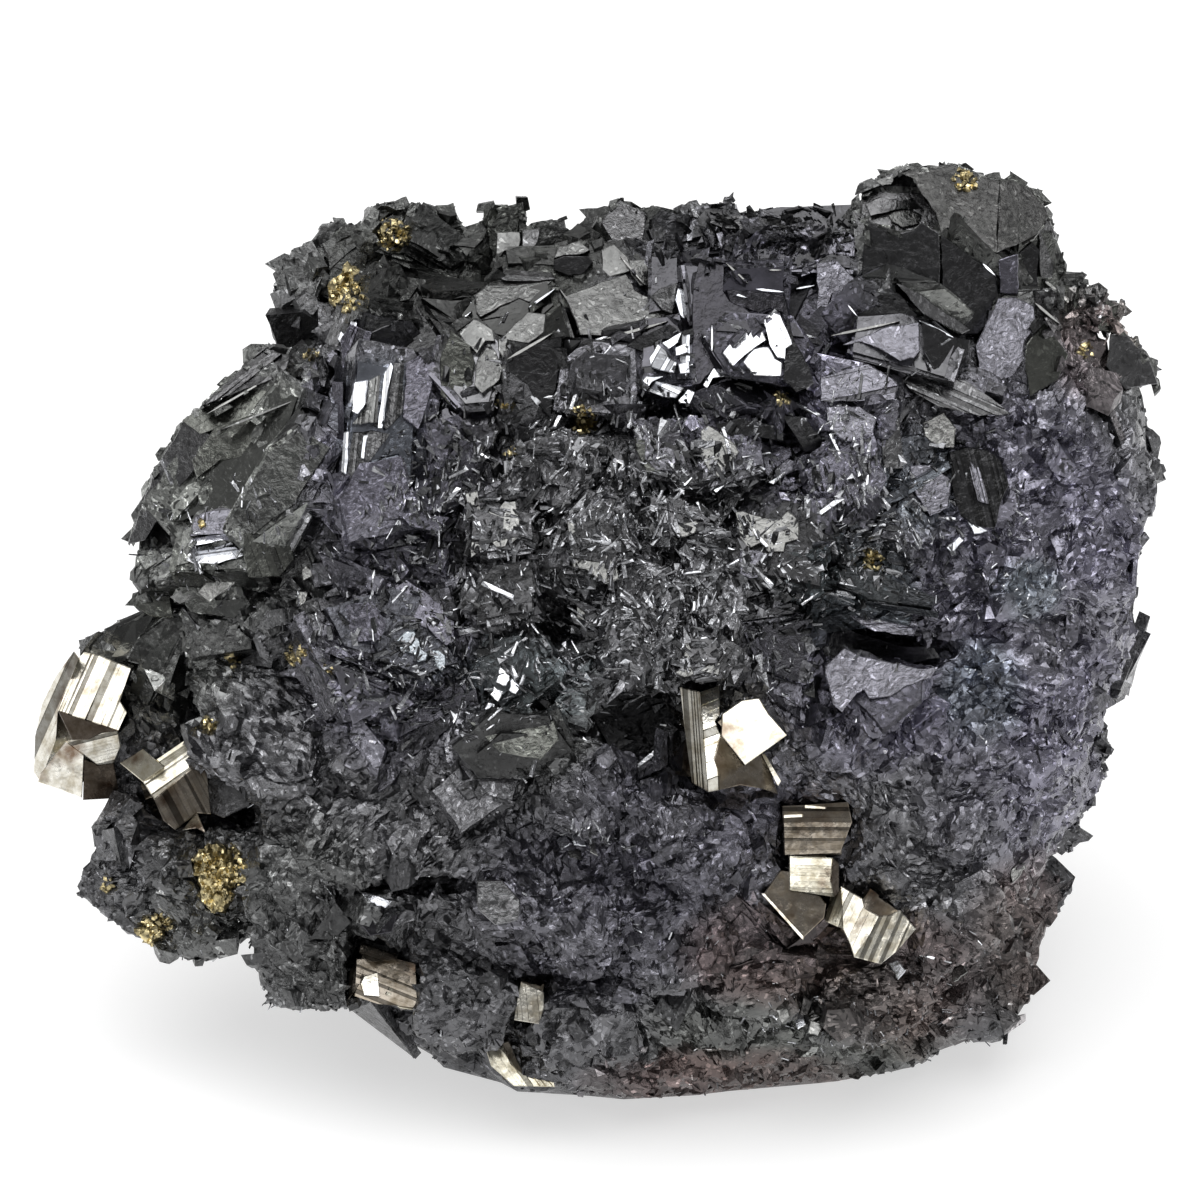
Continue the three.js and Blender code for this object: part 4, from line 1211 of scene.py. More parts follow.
# Crystals of the stone, each a list of faces.
CRYSTALS = [
    # blocks between the left lumps
    [face("stone", 2, -6, (-41.2, -16.6), (-38.6, -16.2), (-35.2, -17.6), (-35, -20.6), (-37.6, -21.8),
        (-40.2, -20.6), proud=0.2, depth=7)],
    [face("olive", 8, -20, (-45.8, 0.6), (-43.2, 1.4), (-42.6, -1.8), (-45, -1.6), (-46.4, -0.6),
        proud=0.2)],
    # the ledged crystal at the left
    [face("stone", 35, -15, (-40, 19.3), (-33.5, 25.2), (-31, 24.4), (-31.5, 22.6), (-36, 20.9), proud=0.3,
        bands=(38, 0.3, 1.6))],
    [face("olive", 25, -18, (-41.8, 18), (-40.1, 19.1), (-35, 20.9), (-31.5, 22.3), (-31.6, 19.5),
        (-36, 18), (-40, 16.6), proud=0.1, bands=(30, 0.5, 2.5))],
    [face("stone", 5, -42, (-41.6, 17.8), (-44.5, 13), (-46.3, 8), (-47.2, 5.6), (-45.5, 6), (-43, 10),
        (-40.6, 13), (-39, 16.6), proud=0.2)],
    [face("olive", 12, -20, (-38.6, 17.2), (-34.3, 18.7), (-34, 16), (-35, 14.2), (-38, 14), (-40.3, 12.2),
        (-40.8, 14), proud=0.3)],
    [face("lilac", 20, -8, (-40.5, 8.3), (-38, 9.3), (-36, 9), (-34.3, 7.4), (-35.6, 6.7), (-41, 6.4),
        proud=0.6, bands=(6, 0.3, 1.2))],
    [face("white", 29, -5, (-41.2, 5.4), (-40.8, 6.2), (-36, 6.9), (-36.1, 6.2), proud=0.7, depth=2,
        bands=(8, 0.15, 0.5))],
    [face("white", 29, -5, (-41.4, 4.0), (-41.2, 4.8), (-36.4, 5.3), (-35.5, 4.5), (-38, 3.7),
        (-40.5, 3.6), proud=0.7, depth=2, bands=(8, 0.15, 0.5))],
    [face("olive", 8, 20, (-35.5, 6.6), (-34.2, 7.2), (-31, 6.3), (-30.6, 4), (-32, 2.3), (-35.2, 2.3),
        (-35.7, 5), depth=4, bands=(-70, 0.5, 2.0))],
    [face("pale", 14, -12, (-40.2, 0.8), (-38.5, 2.8), (-36.1, 3.4), (-36.5, 1.6), (-39, -0.2), proud=0.7)],
    [face("grey", 16, -16, (-43, 0.3), (-41, 2), (-39.9, 2.3), (-40.4, 0.6), (-42, -0.4), proud=0.4)],
    # small crystals above the striated one
    [face("lilac", 22, -30, (-30.2, 21), (-28.4, 24), (-28, 21.2), (-28.6, 20.4), proud=0.9, depth=2.5)],
    [face("purple", 5, 30, (-28.4, 24), (-26.9, 21.2), (-27.4, 20.4), (-28.1, 20.9), proud=0.9, depth=2.5)],
    [face("lilac", 20, -12, (-27.6, 24.3), (-26.6, 25.3), (-25.7, 23.6), (-26.2, 22.4), depth=2)],
    [face("purple", 10, -25, (-26, 26), (-25, 27.6), (-22.8, 26.8), (-23.6, 23.2), (-25.6, 22.6),
        bands=(70, 0.3, 1.2))],
    [face("dark", -8, 28, (-22.8, 26.8), (-20.2, 28), (-18.6, 26), (-19.4, 24.8), (-23.6, 23.1))],
    [face("silver", 24, -16, (-26.2, 26), (-25.6, 27.8), (-25.1, 27.9), (-25.5, 25.3), proud=1.2,
        depth=1.5, bands=(80, 0.15, 0.4))],
    [face("silver", 26, -8, (-25.2, 25.8), (-24.9, 27.9), (-24.3, 27.8), (-24.6, 26.1), proud=1.2,
        depth=1.5, bands=(80, 0.15, 0.4))],
    # the striated crystal
    [face("white", 24, -14, (-25.3, 19), (-24.5, 21.8), (-23.2, 22), (-23.4, 19.6), (-24.2, 18.6),
        proud=1.0, bands=(86, 0.15, 0.5))],
    [face("grey", 20, -12, (-24.8, 17.6), (-23.4, 19.4), (-23.1, 22), (-22, 22.6), (-22.3, 17.7),
        proud=0.9, bands=(84, 0.12, 0.45))],
    [face("white", 27, -5, (-22.2, 17.2), (-21.5, 22.8), (-20.9, 23.8), (-20.7, 23.4), (-21.8, 17.2),
        proud=1.0, bands=(86, 0.2, 0.5))],
    [face("stone", 6, -4, (-21.7, 17.2), (-20.6, 23.7), (-19.6, 23.6), (-19.8, 18.6), (-21.4, 17),
        proud=0.9, bands=(84, 0.2, 0.6))],
    [face("silver", 26, -10, (-25.9, 12.8), (-25.6, 16.8), (-24.8, 17), (-25.4, 12.5), proud=0.9,
        bands=(86, 0.15, 0.4))],
    [face("stone", 10, -10, (-25.3, 12), (-24.7, 16.8), (-22.8, 17), (-21, 16.6), (-22.5, 14.5),
        (-24.6, 12), bands=(84, 0.2, 0.7))],
    [face("silver", 27, -8, (-23.9, 14.2), (-23.6, 16.8), (-23.1, 16.9), (-23.6, 14.1), proud=1.0, depth=2,
        bands=(84, 0.15, 0.4))],
    [face("purple", 4, -50, (-26.8, 21.8), (-25.7, 21.8), (-25.6, 17.5), (-26.3, 12), (-27, 12), proud=0.5)],
    [face("purple", 12, 8, (-19.7, 18.2), (-19.4, 23.6), (-17.2, 25), (-16.4, 23.5), (-17.1, 20),
        (-18.2, 17), proud=0.5)],
    # plates along the top
    [face("grey", 38, 4, (-4.3, 31.4), (-3.5, 30.4), (0, 31.8), (2.6, 32.6), (3.5, 31), (6.9, 29.3),
        (8, 28), (4, 27.3), (0.2, 26.4), (-2, 26.5), (-2.5, 28), (-3.2, 29.6), proud=0.5)],
    [face("grey", 42, -6, (-12.4, 28.8), (-12.5, 30.5), (-10.5, 32.2), (-4.8, 31.9), (-7, 29.8),
        (-8, 30.2), (-10, 29.4), (-12, 28.3), proud=0.4)],
    [face("stone", 46, 0, (-10.6, 33.2), (-4.8, 32.7), (-4.5, 32.1), (-7, 31.9), (-9.8, 32),
        bands=(-4, 0.3, 0.8))],
    [face("grey", 36, -4, (-10.2, 26), (-7.2, 28.8), (-5.4, 28.6), (-5.6, 26.8), (-9.6, 24), (-10.2, 25),
        proud=1.0)],
    [face("dark", -6, 14, (-9.3, 23.7), (-4.8, 26.6), (-3.8, 26.9), (-4.3, 22), (-5, 18.2), (-6.5, 20),
        (-7.2, 21.5), (-9.2, 22.8), proud=0.5)],
    [face("olive", 4, -10, (-16, 24), (-14.9, 27), (-13, 25.4), (-12.5, 23.8), (-12.8, 21.5), (-15, 19.4),
        (-16, 20.5))],
    [face("grey", 30, 0, (-14.8, 27.5), (-13.6, 28.3), (-12.2, 28), (-10.7, 27), (-10.5, 25.9),
        (-11.4, 25.9), (-12.3, 24.6), (-13.5, 25.7))],
    [face("grey", 18, 6, (-12.3, 24), (-11.1, 25.7), (-10.4, 24.8), (-9.7, 23.3), (-10, 22), (-11.8, 20.6),
        (-12.6, 21.5), proud=0.9)],
    [face("stone", 8, -5, (-0.1, 37.5), (1, 39.1), (2, 40), (4.5, 38.7), (4.5, 37), (3.6, 34.2),
        (1.8, 35.7), (0.8, 35.7), proud=0.7, depth=4)],
    [face("grey", 22, -6, (0.2, 32), (0.1, 35), (1.4, 35.6), (2.8, 34.3), (3.3, 33), (2.5, 32.7),
        proud=0.6)],
    [face("grey", 28, 12, (2.9, 34), (4.6, 34.1), (6.8, 33), (5.4, 31.4), (4, 31.4), (3.1, 32.6),
        proud=0.6)],
    [face("grey", 40, -5, (-4.6, 34.2), (-4.2, 35.2), (-2, 35.9), (-1, 35), (-2.4, 34.5), (-3.6, 34.5),
        proud=1.2)],
    [face("dark", -5, 5, (-4.6, 34), (-3.6, 34.4), (-1.2, 34.4), (-0.7, 33.8), (-1.8, 32.5), (-3.2, 32.4),
        (-4.6, 33), proud=1.2)],
    [face("grey", 20, -8, (-10.4, 34.6), (-10.3, 36.8), (-8, 36.8), (-7.9, 36), (-8.2, 34.8), (-9, 34.4))],
    [face("stone", 14, 8, (-7.8, 35), (-7.8, 37), (-6, 37.2), (-6.2, 35.8), (-6.8, 34.9))],
    [face("stone", 45, 0, (10.8, 37.8), (13, 38.4), (17, 38.3), (20, 38.4), (20.4, 37.5), (16, 37),
        (12.4, 37.2), proud=0.4, bands=(2, 0.3, 0.8))],
    # the notched crystal with its mirror faces
    [face("shade", 15, 4, (9.2, 21.4), (9.2, 28), (9.4, 32), (10, 34.2), (12.3, 34), (12.3, 31),
        (13, 29.9), (15.8, 28.4), (15.6, 27.8), (14.2, 27), (12.3, 24.5), (10, 21.6), proud=1.5)],
    [face("shade", 10, 10, (12.6, 31), (15, 31), (18.5, 30.4), (19, 28.2), (18.4, 28.7), (17.1, 29.2),
        (16, 28.7), (13, 29.7), proud=1.3)],
    [face("dark", 4, 8, (18.6, 28.4), (19.4, 26), (21, 23.2), (21.4, 21.6), (19.6, 20.8), (18.3, 22),
        (18.4, 24), (18.8, 25.2), proud=1.2)],
    [face("dark", -6, 0, (11.6, 17.6), (14, 18.2), (16.6, 17.6), (18.6, 16.6), (17.6, 16), (14, 16.4),
        (12, 16.6), depth=4)],
    [face("white", 26, -4, (12.3, 24.7), (14, 26.9), (14.6, 27), (14.8, 26.4), (15.7, 27.9), (16.6, 26),
        (15.8, 25.5), (13.3, 23.4), proud=2.2, bands=(48, 0.5, 2.2), grooves=0.1)],
    [face("white", 25, -2, (16.3, 28), (17.2, 28.8), (18, 28.5), (19, 26.2), (19.2, 25.6), (18.6, 25.2),
        (18.5, 24.1), (17.7, 24.3), (17, 25.4), (16.7, 26.6), proud=2.2, bands=(-62, 0.6, 1.8),
        grooves=0.1)],
    [face("white", 26, -5, (14.3, 23.8), (15.4, 25.1), (16.8, 25.3), (17.5, 24.1), (18.2, 23.7),
        (18.1, 22.4), (17.2, 22.4), (15.4, 22.5), proud=2.2)],
    [face("white", 26, -5, (10.3, 21.5), (11.4, 23.4), (12.3, 24.1), (13, 22.9), (12.3, 22.3),
        (11.2, 22.2), (10.7, 21.2), proud=2.2)],
    [face("silver", 26, -8, (4.9, 24.1), (5.8, 25.6), (6.6, 25), (6.9, 24.2), (7.7, 23.8), (7.4, 22.7),
        (5.1, 23.3), proud=1.8, depth=4, bands=(60, 0.4, 1.2))],
    [face("white", 25, -2, (6.2, 25.7), (7.4, 26.4), (8.2, 26.8), (7.8, 25.8), (6.9, 25.1), proud=1.9,
        depth=3)],
    [face("white", 25, -2, (7.5, 25.2), (8.6, 25.7), (8.8, 24.8), (7.6, 24.4), proud=1.9, depth=3)],
    [face("silver", 24, 0, (7.8, 23.6), (8.9, 23.9), (9, 22.7), (8, 22.6), proud=1.8, depth=3)],
    [face("silver", 26, -2, (3.9, 21.5), (4.6, 22.4), (6.4, 22.4), (5.2, 21.8), (4.6, 20.9), proud=1.8,
        depth=3)],
    [face("white", 26, -2, (4.8, 20.9), (5.6, 21.9), (7.2, 21.5), (8.4, 21.2), (7.6, 20.2), (6.4, 20.3),
        proud=1.7, depth=3, bands=(-24, 0.25, 0.7))],
    [face("white", 25, 0, (7.8, 20), (8.8, 21.1), (9.5, 20.8), (9, 19.6), (8, 19.7), proud=1.8, depth=3)],
    [face("silver", 24, -10, (8, 31.9), (8.8, 31.9), (8.9, 27.4), (8, 28.5), (7.5, 30), proud=1.4, depth=2,
        bands=(88, 0.2, 0.5))],
    [face("silver", 26, -6, (8.2, 26.6), (9, 26.8), (9, 24), (8.6, 22.2), (8, 23.9), proud=1.5, depth=2,
        bands=(88, 0.2, 0.5))],
    [face("stone", 10, -20, (5, 30.3), (6, 31.2), (7.8, 31.8), (7.4, 29.5), (7.2, 28.6), (6.2, 29),
        proud=1.0)],
    [face("dark", -12, -6, (4, 26.4), (7, 27.6), (7.8, 27), (7.2, 26.2), (5.8, 26), (4.6, 24.6),
        (2.6, 25.4))],
    [face("lilac", 12, 2, (21.6, 33.6), (23.8, 33.9), (25.5, 32.2), (25.3, 31.2), (23.2, 30.6),
        (22.8, 29.5), (22.2, 28.2), (21.7, 28.3), (21.8, 31), proud=0.9)],
    [face("lilac", 16, -4, (19.9, 36.8), (21, 37.4), (21.7, 35.4), (20.6, 34.4), (20, 35), proud=0.6)],
    [face("lilac", 16, 4, (22.6, 34.6), (23.9, 37.2), (25.5, 36.4), (25.5, 34.3), proud=0.7)],
    # the great crystal at the upper right
    [face("stone", 14, -6, (26, 37.4), (26.2, 40.3), (26.5, 41.7), (28.5, 42.3), (29.8, 43), (31.6, 42.6),
        (32.4, 40.4), (33.7, 38.5), (34.2, 36.4), (32, 36), proud=0.2, depth=4, ragged=0.6)],
    [
        face("cap", 32, 2, (29.8, 42.9), (30.4, 43.3), (32, 43.1), (34, 43.2), (35.2, 43.5), (37, 42.9),
            (38.6, 42.1), (40, 41.9), (39.8, 38), (39.7, 34.7), (38.4, 35.2), (37.9, 34.5), (36, 35.9),
            (34.1, 36.7), (33.6, 38.6), (32.2, 40.5), (31.4, 42.2), proud=0.6, depth=11),
        face("cap", 30, 14, (40, 41.9), (41.2, 42), (42.8, 41.2), (44, 39.8), (44.8, 38.6), (44.4, 37.6),
            (43.6, 36.6), (41.6, 35.5), (39.7, 34.7), (39.8, 38), proud=0.6, depth=11),
    ],
    [face("dark", -3, -8, (26.5, 37.9), (28.6, 37.2), (30.1, 36.7), (31.4, 37), (32.2, 37.8), (33.9, 36.7),
        (34, 31), (34.2, 29.4), (32.5, 30.8), (30.4, 32.4), (29.2, 32.6), (26.2, 31.9), (26.3, 34),
        proud=0.6)],
    [face("dark", -4, 26, (34.1, 36.5), (36, 35.2), (38.1, 33.7), (39.6, 32.3), (39.9, 30.5), (39.2, 28),
        (37.8, 26.6), (36.4, 26.6), (35, 28.3), (34.2, 29.3), proud=0.6)],
    [face("stone", 10, -14, (25.2, 38.9), (26.4, 38.5), (26.3, 32), (25.6, 31.8), (25.9, 34), (25.4, 36),
        proud=0.6, bands=(88, 0.2, 0.6))],
    [face("grey", 18, -6, (26.2, 40.3), (26.5, 41.7), (28.6, 42.3), (29.9, 42.6), (29.2, 41.6),
        (27.5, 41.2), (26.8, 40.4), proud=0.9, depth=3, ragged=0.5)],
    [face("grey", 26, -4, (28.8, 38.5), (29.2, 39.2), (30.8, 39.3), (32.2, 38.5), (31.8, 37.6),
        (30.2, 37.2), (29.2, 37.8), proud=0.7, depth=3, ragged=0.5)],
    [face("stone", 22, 4, (26.5, 39.6), (28, 40.3), (30, 39.9), (31.8, 40.4), (32.6, 39.2), (29.5, 39),
        (27, 38.4), proud=0.5, depth=3, ragged=0.5)],
    [face("pale", 20, 8, (42, 35.8), (42.8, 36.6), (43.6, 37.4), (44, 36.9), (43.4, 36), (42.4, 35.5),
        proud=0.6, depth=2, ragged=0.4)],
    [face("purple", -4, 10, (39.9, 34), (41.8, 34.6), (41.8, 30.6), (40, 30.7), proud=0.5)],
    [face("dark", -4, 20, (41.9, 34.8), (43.2, 35.8), (43.9, 35), (43.8, 31.2), (43, 30.5), (42, 30.5),
        proud=0.5)],
    [face("stone", 4, 50, (43.9, 37.4), (44.8, 38.4), (45.6, 36.6), (45.4, 34), (45.2, 32.2), (44.1, 32.3),
        (43.9, 35), proud=0.2)],
    [face("stone", 24, 26, (29.6, 31.7), (30.6, 30.7), (32.4, 28.6), (36.2, 26.6), (37, 27), (34.1, 29.1),
        (31.8, 30.7), proud=1.1)],
    [face("dark", -10, -4, (23.2, 29.9), (25, 30.4), (29, 31.2), (30, 30.6), (31.7, 28.6), (31.6, 28.1),
        (28, 27.9), (24, 27.1), (22.8, 27.2), proud=0.7, depth=4)],
    [face("lilac", 20, -10, (24.2, 25.5), (28.2, 27.2), (31.9, 27.8), (32, 25), (31.4, 24.2), (30, 23.9),
        (27, 25.5), (25.8, 25.9), proud=1.2, depth=4)],
    [face("dark", 2, 26, (32.2, 27.8), (35.4, 26.3), (37, 26), (36.9, 24.6), (35, 23.1), (33.4, 23.1),
        (32.3, 25), proud=1.2, depth=4)],
    [face("lilac", 16, -5, (22, 22.2), (25, 23.1), (26.8, 23.6), (29.3, 22.1), (29.9, 21.4), (29.5, 20.1),
        (26, 19.9), (22, 19.9), bands=(12, 0.5, 2.2))],
    [face("lilac", 18, 10, (38.3, 26.9), (39.8, 30.2), (41.5, 30.3), (43.4, 29.4), (43.7, 27.5),
        (42.5, 26), (42.3, 24), (41.3, 22.5), (39.6, 21.8), (37.9, 23), (37.5, 25.4), depth=4)],
    [face("olive", 6, 30, (42.7, 25.6), (44.5, 27.8), (46.8, 24.5), (45.8, 22), (43, 20.3), (42.5, 23),
        proud=0.6)],
    [face("olive", 16, 20, (44.4, 31.8), (46.8, 31.4), (49.8, 30.1), (52.4, 29.3), (51.8, 27.8),
        (52.8, 26.4), (49.6, 26.9), (45.6, 28.6), proud=0.9, depth=9)],
    [face("stone", 4, 30, (52.8, 26.4), (54.8, 24.2), (55.8, 21.6), (52.6, 21), (50.6, 23.4), (51, 26.6),
        proud=0.5, depth=8)],
    [face("white", 26, -2, (48.9, 29.4), (50, 30), (50.7, 29.2), (50.1, 28.2), (49.2, 28), proud=2.2,
        depth=2)],
    # single faces in the middle
    [face("pale", 16, -4, (-13.5, 10.7), (-12.3, 10.9), (-12, 9), (-10, 9.2), (-9.6, 9.8), (-8.4, 9.9),
        (-8, 8), (-8.1, 6.4), (-9.4, 5.3), (-10.4, 5.3), (-10.9, 5.8), (-12, 4.9), (-12.9, 4.2),
        (-12.9, 7.5), proud=0.9)],
    [face("pale", 16, 6, (-3.3, 7.9), (-1.8, 7.3), (0, 6.2), (0.4, 5), (1.8, 3), (1.9, 2.1), (0.5, 1.6),
        (-0.5, 2.4), (-1.4, 3.1), (-2.7, 3.3), (-3, 5), proud=0.9)],
    [face("white", 27, -4, (4, 11.8), (5.9, 12.7), (5.8, 10.5), (4, 10.2), proud=1.0, depth=2)],
    [face("pale", 20, 0, (6.7, 7.2), (9.6, 7.9), (9.9, 7.7), (9.5, 6.7), (8.2, 6.3), proud=0.9, depth=2)],
    [face("olive", 8, -6, (3.5, 16.3), (5.6, 15.5), (6.2, 14), (6, 12.8), (4.7, 12.7), (4.2, 13.8),
        (3.6, 15))],
    [face("stone", 2, 8, (6.4, 15.9), (9.7, 14.7), (9.5, 14.1), (8.2, 14.2), (6.6, 14.1))],
    [face("pale", 14, 0, (7.2, 14), (8.2, 13.9), (8, 12.9), (7.2, 12.9), proud=1.0, depth=2)],
    [face("pale", 15, 4, (-2.3, -2.3), (-2.3, 0), (-2, 0.3), (-1.1, -2), (-1.6, -2.5), depth=2)],
    [face("pale", 15, 2, (8.2, -6.8), (8.6, -4.3), (9.8, -4.1), (10.6, -5.4), (12.1, -6.2), (11.9, -7.5),
        (10, -7.1), (8.5, -7.7), (7.5, -7.3))],
    [face("pale", 14, -10, (9.9, 14.8), (10.1, 17), (10.8, 17.5), (12.4, 16.4), (13.5, 15.6), (13.9, 14.8),
        (12.8, 13.7), (11.9, 12.2), (10.9, 12.9), proud=0.9)],
    [face("pale", 17, 2, (13.5, 8.8), (14.2, 8.9), (16, 8.4), (18, 8), (18.8, 8.9), (19.9, 8), (19.9, 6.1),
        (18.6, 5.7), (18.4, 4.8), (16.8, 4.8), (16, 5.7), (15, 5.2), (14, 5.7), (13.8, 7.4), proud=1.0)],
    [face("lilac", 15, 4, (14, 5), (16, 5), (17.5, 4), (17.5, 2.7), (15, 2.2), (14, 2.7), proud=0.7)],
    [face("lilac", 12, 8, (16.1, 14.3), (18, 14.7), (19.5, 13.9), (19.9, 13), (18.6, 12.5), (17, 12.2),
        (16.1, 13), proud=0.7)],
    [face("dark", -10, 16, (18.2, 18.5), (20.4, 18.3), (22, 16.5), (23.8, 14), (23.6, 13), (22.7, 13.5),
        (21.6, 14.9), (20.4, 14.8), (19.5, 16.4), proud=0.4)],
    [face("lilac", 14, 0, (22.6, 19.3), (26, 19.4), (27.7, 18.3), (27.3, 16.5), (24.6, 15.8), (23.1, 17),
        proud=0.7)],
    [face("stone", 6, 4, (28.2, 18.3), (30, 18.3), (30.3, 13.2), (28.4, 13.2), (28.1, 16), proud=0.6)],
    # the dark striated crystal at the right, and what lies round it
    [face("dark", 4, 4, (35, 14.8), (36.5, 15.3), (38.6, 15), (40, 14), (40.9, 11.5), (40, 9.5),
        (39.5, 7.2), (37.5, 7.4), (36, 8.5), (35.2, 11.5), proud=1.2, depth=4, bands=(-76, 0.12, 0.45),
        grooves=0.3)],
    [face("lilac", 18, 0, (36.6, 14.9), (37.5, 14.8), (38.9, 9.6), (37.8, 9.9), proud=1.35, depth=1,
        bands=(-76, 0.1, 0.25), grooves=0.5)],
    [face("silver", 24, -4, (34.6, 5.2), (36, 6.4), (36.4, 6), (35.2, 4.7), depth=1)],
    [face("silver", 22, -4, (36.7, 7.9), (37.6, 7.6), (38.8, 6.9), (37.4, 6.6), depth=1)],
    [face("pale", 10, -4, (32.3, 17.8), (34.4, 18.8), (35.6, 17.2), (35.4, 15.2), (33.6, 15.5),
        (32.4, 16.4), depth=2, ragged=0.5)],
    [face("lilac", 12, 4, (31, 13.4), (33.2, 13.6), (35.2, 12), (34.8, 9.2), (33, 8.4), (31.6, 10.4),
        depth=2, ragged=0.5)],
    [face("stone", 22, 6, (30, 22.3), (33, 22.4), (36.5, 22), (39, 20.3), (41, 18.6), (38, 18.4),
        (34, 19.3), (31, 21), proud=0.9, bands=(-24, 0.1, 0.35), grooves=0.3)],
    # the shelf and the long pale face under it
    [face("dark", -24, 0, (22.2, -4.8), (23.8, -2.4), (26, -3.4), (30, -4.6), (33.4, -4.8), (34, -5.8),
        (31, -6.3), (26, -5.6), (22.4, -6), proud=0.2)],
    [face("lilac", 16, 4, (22.5, -6.6), (24.4, -4.8), (26, -5.6), (29, -6.2), (32, -6.9), (33.8, -6.7),
        (33, -7.8), (30.6, -8.6), (29, -9.7), (26.9, -9.9), (26.4, -9), (25.6, -9.4), (24.2, -11.2),
        (23.3, -10.4), (22.7, -8), proud=1.3, depth=4)],
    [face("lilac", 34, 4, (24.2, -0.8), (26, -2.3), (27.4, -3.1), (28.6, -3.2), (30, -3.5), (31.4, -3.4),
        (31.9, -2.4), (31.6, -2.1), (29.6, -2.3), (28, -2), (26, -0.8), (25, -0.3), proud=1.4, depth=2,
        bands=(4, 0.3, 0.9))],
    # the rough purple crystal left of the middle, and the boat-shaped face
    [face("purple", 20, 6, (-22.4, 0), (-19.4, 2.1), (-16.2, 0), (-14.5, -1.6), (-14.5, -4.1),
        (-15.3, -4.6), (-17, -3), (-19, -2.4), (-21, -2.2))],
    [face("purple", 10, -18, (-26, -0.7), (-22.8, -0.1), (-21.4, -2.2), (-22, -4), (-25, -4.3),
        (-27, -3.6))],
    [face("blue", 16, -4, (-20.4, -4), (-19.4, -3.1), (-18.6, -3.1), (-18, -4.2), (-17.8, -5),
        (-17.2, -5.4), (-17.4, -6), (-18.2, -6.2), (-18.6, -5.4), (-20, -5), proud=1.1, depth=2)],
    [face("blue", 16, 4, (-16.8, -5), (-15.6, -5), (-15.4, -6.4), (-15.8, -7.2), (-16.4, -6.6), proud=1.1,
        depth=2)],
    [face("olive", 12, -4, (-13.4, -11.9), (-10, -15.2), (-6, -16), (-4.1, -14), (-4.6, -12.1),
        (-8, -12.4), (-11.6, -12.5), proud=0.9, depth=4)],
    [face("pale", 12, -8, (-29.9, 3), (-29.4, 3.5), (-28.4, 3), (-28.3, 2.6), (-29.7, 1.9), depth=2)],
    [face("pale", 12, -8, (-30.9, -1.8), (-29.9, -1.6), (-29.2, 0.8), (-30, 0.9), depth=2)],
    # the bright bits at the middle's left
    chip("white", 27, -4, (-10, -6.6), (-9, -7.6), (-9.4, -8.6), (-10.4, -8.2)),
    chip("white", 27, -2, (-10.6, -8.6), (-9.7, -9.2), (-10.2, -10.2), (-11, -9.4)),
    chip("silver", 26, -4, (-11.2, -10.2), (-10.4, -10.4), (-10.9, -11.4), (-11.6, -10.9)),
    chip("silver", 26, 2, (-8.8, -7.8), (-8, -8.6), (-8.4, -9.4), (-9.1, -9)),
    chip("blue", 24, 2, (-7.8, -9.2), (-6.8, -9.8), (-7.6, -10.6), (-8.4, -10)),
    # low on the face
    [face("silver", 25, -4, (-24, -29.2), (-22.5, -29.5), (-20.8, -30.1), (-21.5, -30.8), (-23, -30.2),
        depth=2, ragged=0.4)],
    [face("shade", 4, -10, (-23.8, -30.4), (-21.6, -31.2), (-20.2, -31.4), (-20.8, -33.2), (-23, -33.6),
        (-24.2, -32.2), depth=2)],
    [face("stone", 10, -4, (-12.3, -28), (-9.8, -28), (-8, -30), (-8.2, -32), (-10.5, -32.5), (-12.2, -31))],
    chip("silver", 25, -4, (-4.3, -24), (-3.4, -23.5), (-2.9, -24.3), (-3.9, -25)),
    chip("silver", 25, 0, (-2.8, -23.3), (-1.6, -23.5), (-1.4, -24.6), (-2.6, -24.5)),
    chip("pale", 24, 4, (-1.2, -23.9), (-0.5, -24.2), (-0.2, -25.6), (-1, -25.2)),
    chip("pale", 22, 0, (-3.2, -25), (-2, -25), (-1.8, -26), (-3, -25.8)),
    # feathery bits along the base
    chip("pale", 24, 0, (17.6, -41), (18.6, -40.6), (19, -41.6), (18.2, -42.4)),
    chip("silver", 24, 0, (19.4, -41.8), (20.2, -41), (20.6, -42.4), (19.8, -43)),
    chip("pale", 24, 0, (21, -42), (22.4, -42.4), (21.8, -43.6), (20.8, -43.2)),
    chip("silver", 24, 0, (28.8, -36.3), (29.8, -36), (30.6, -37), (29.8, -38)),
    chip("pale", 24, 0, (35, -37), (36.4, -36.4), (36.8, -37.2), (35.4, -38.2)),
    chip("pale", 20, 10, (41.3, -28.4), (42.6, -26.8), (42.2, -25.6), (41, -27.2)),
]
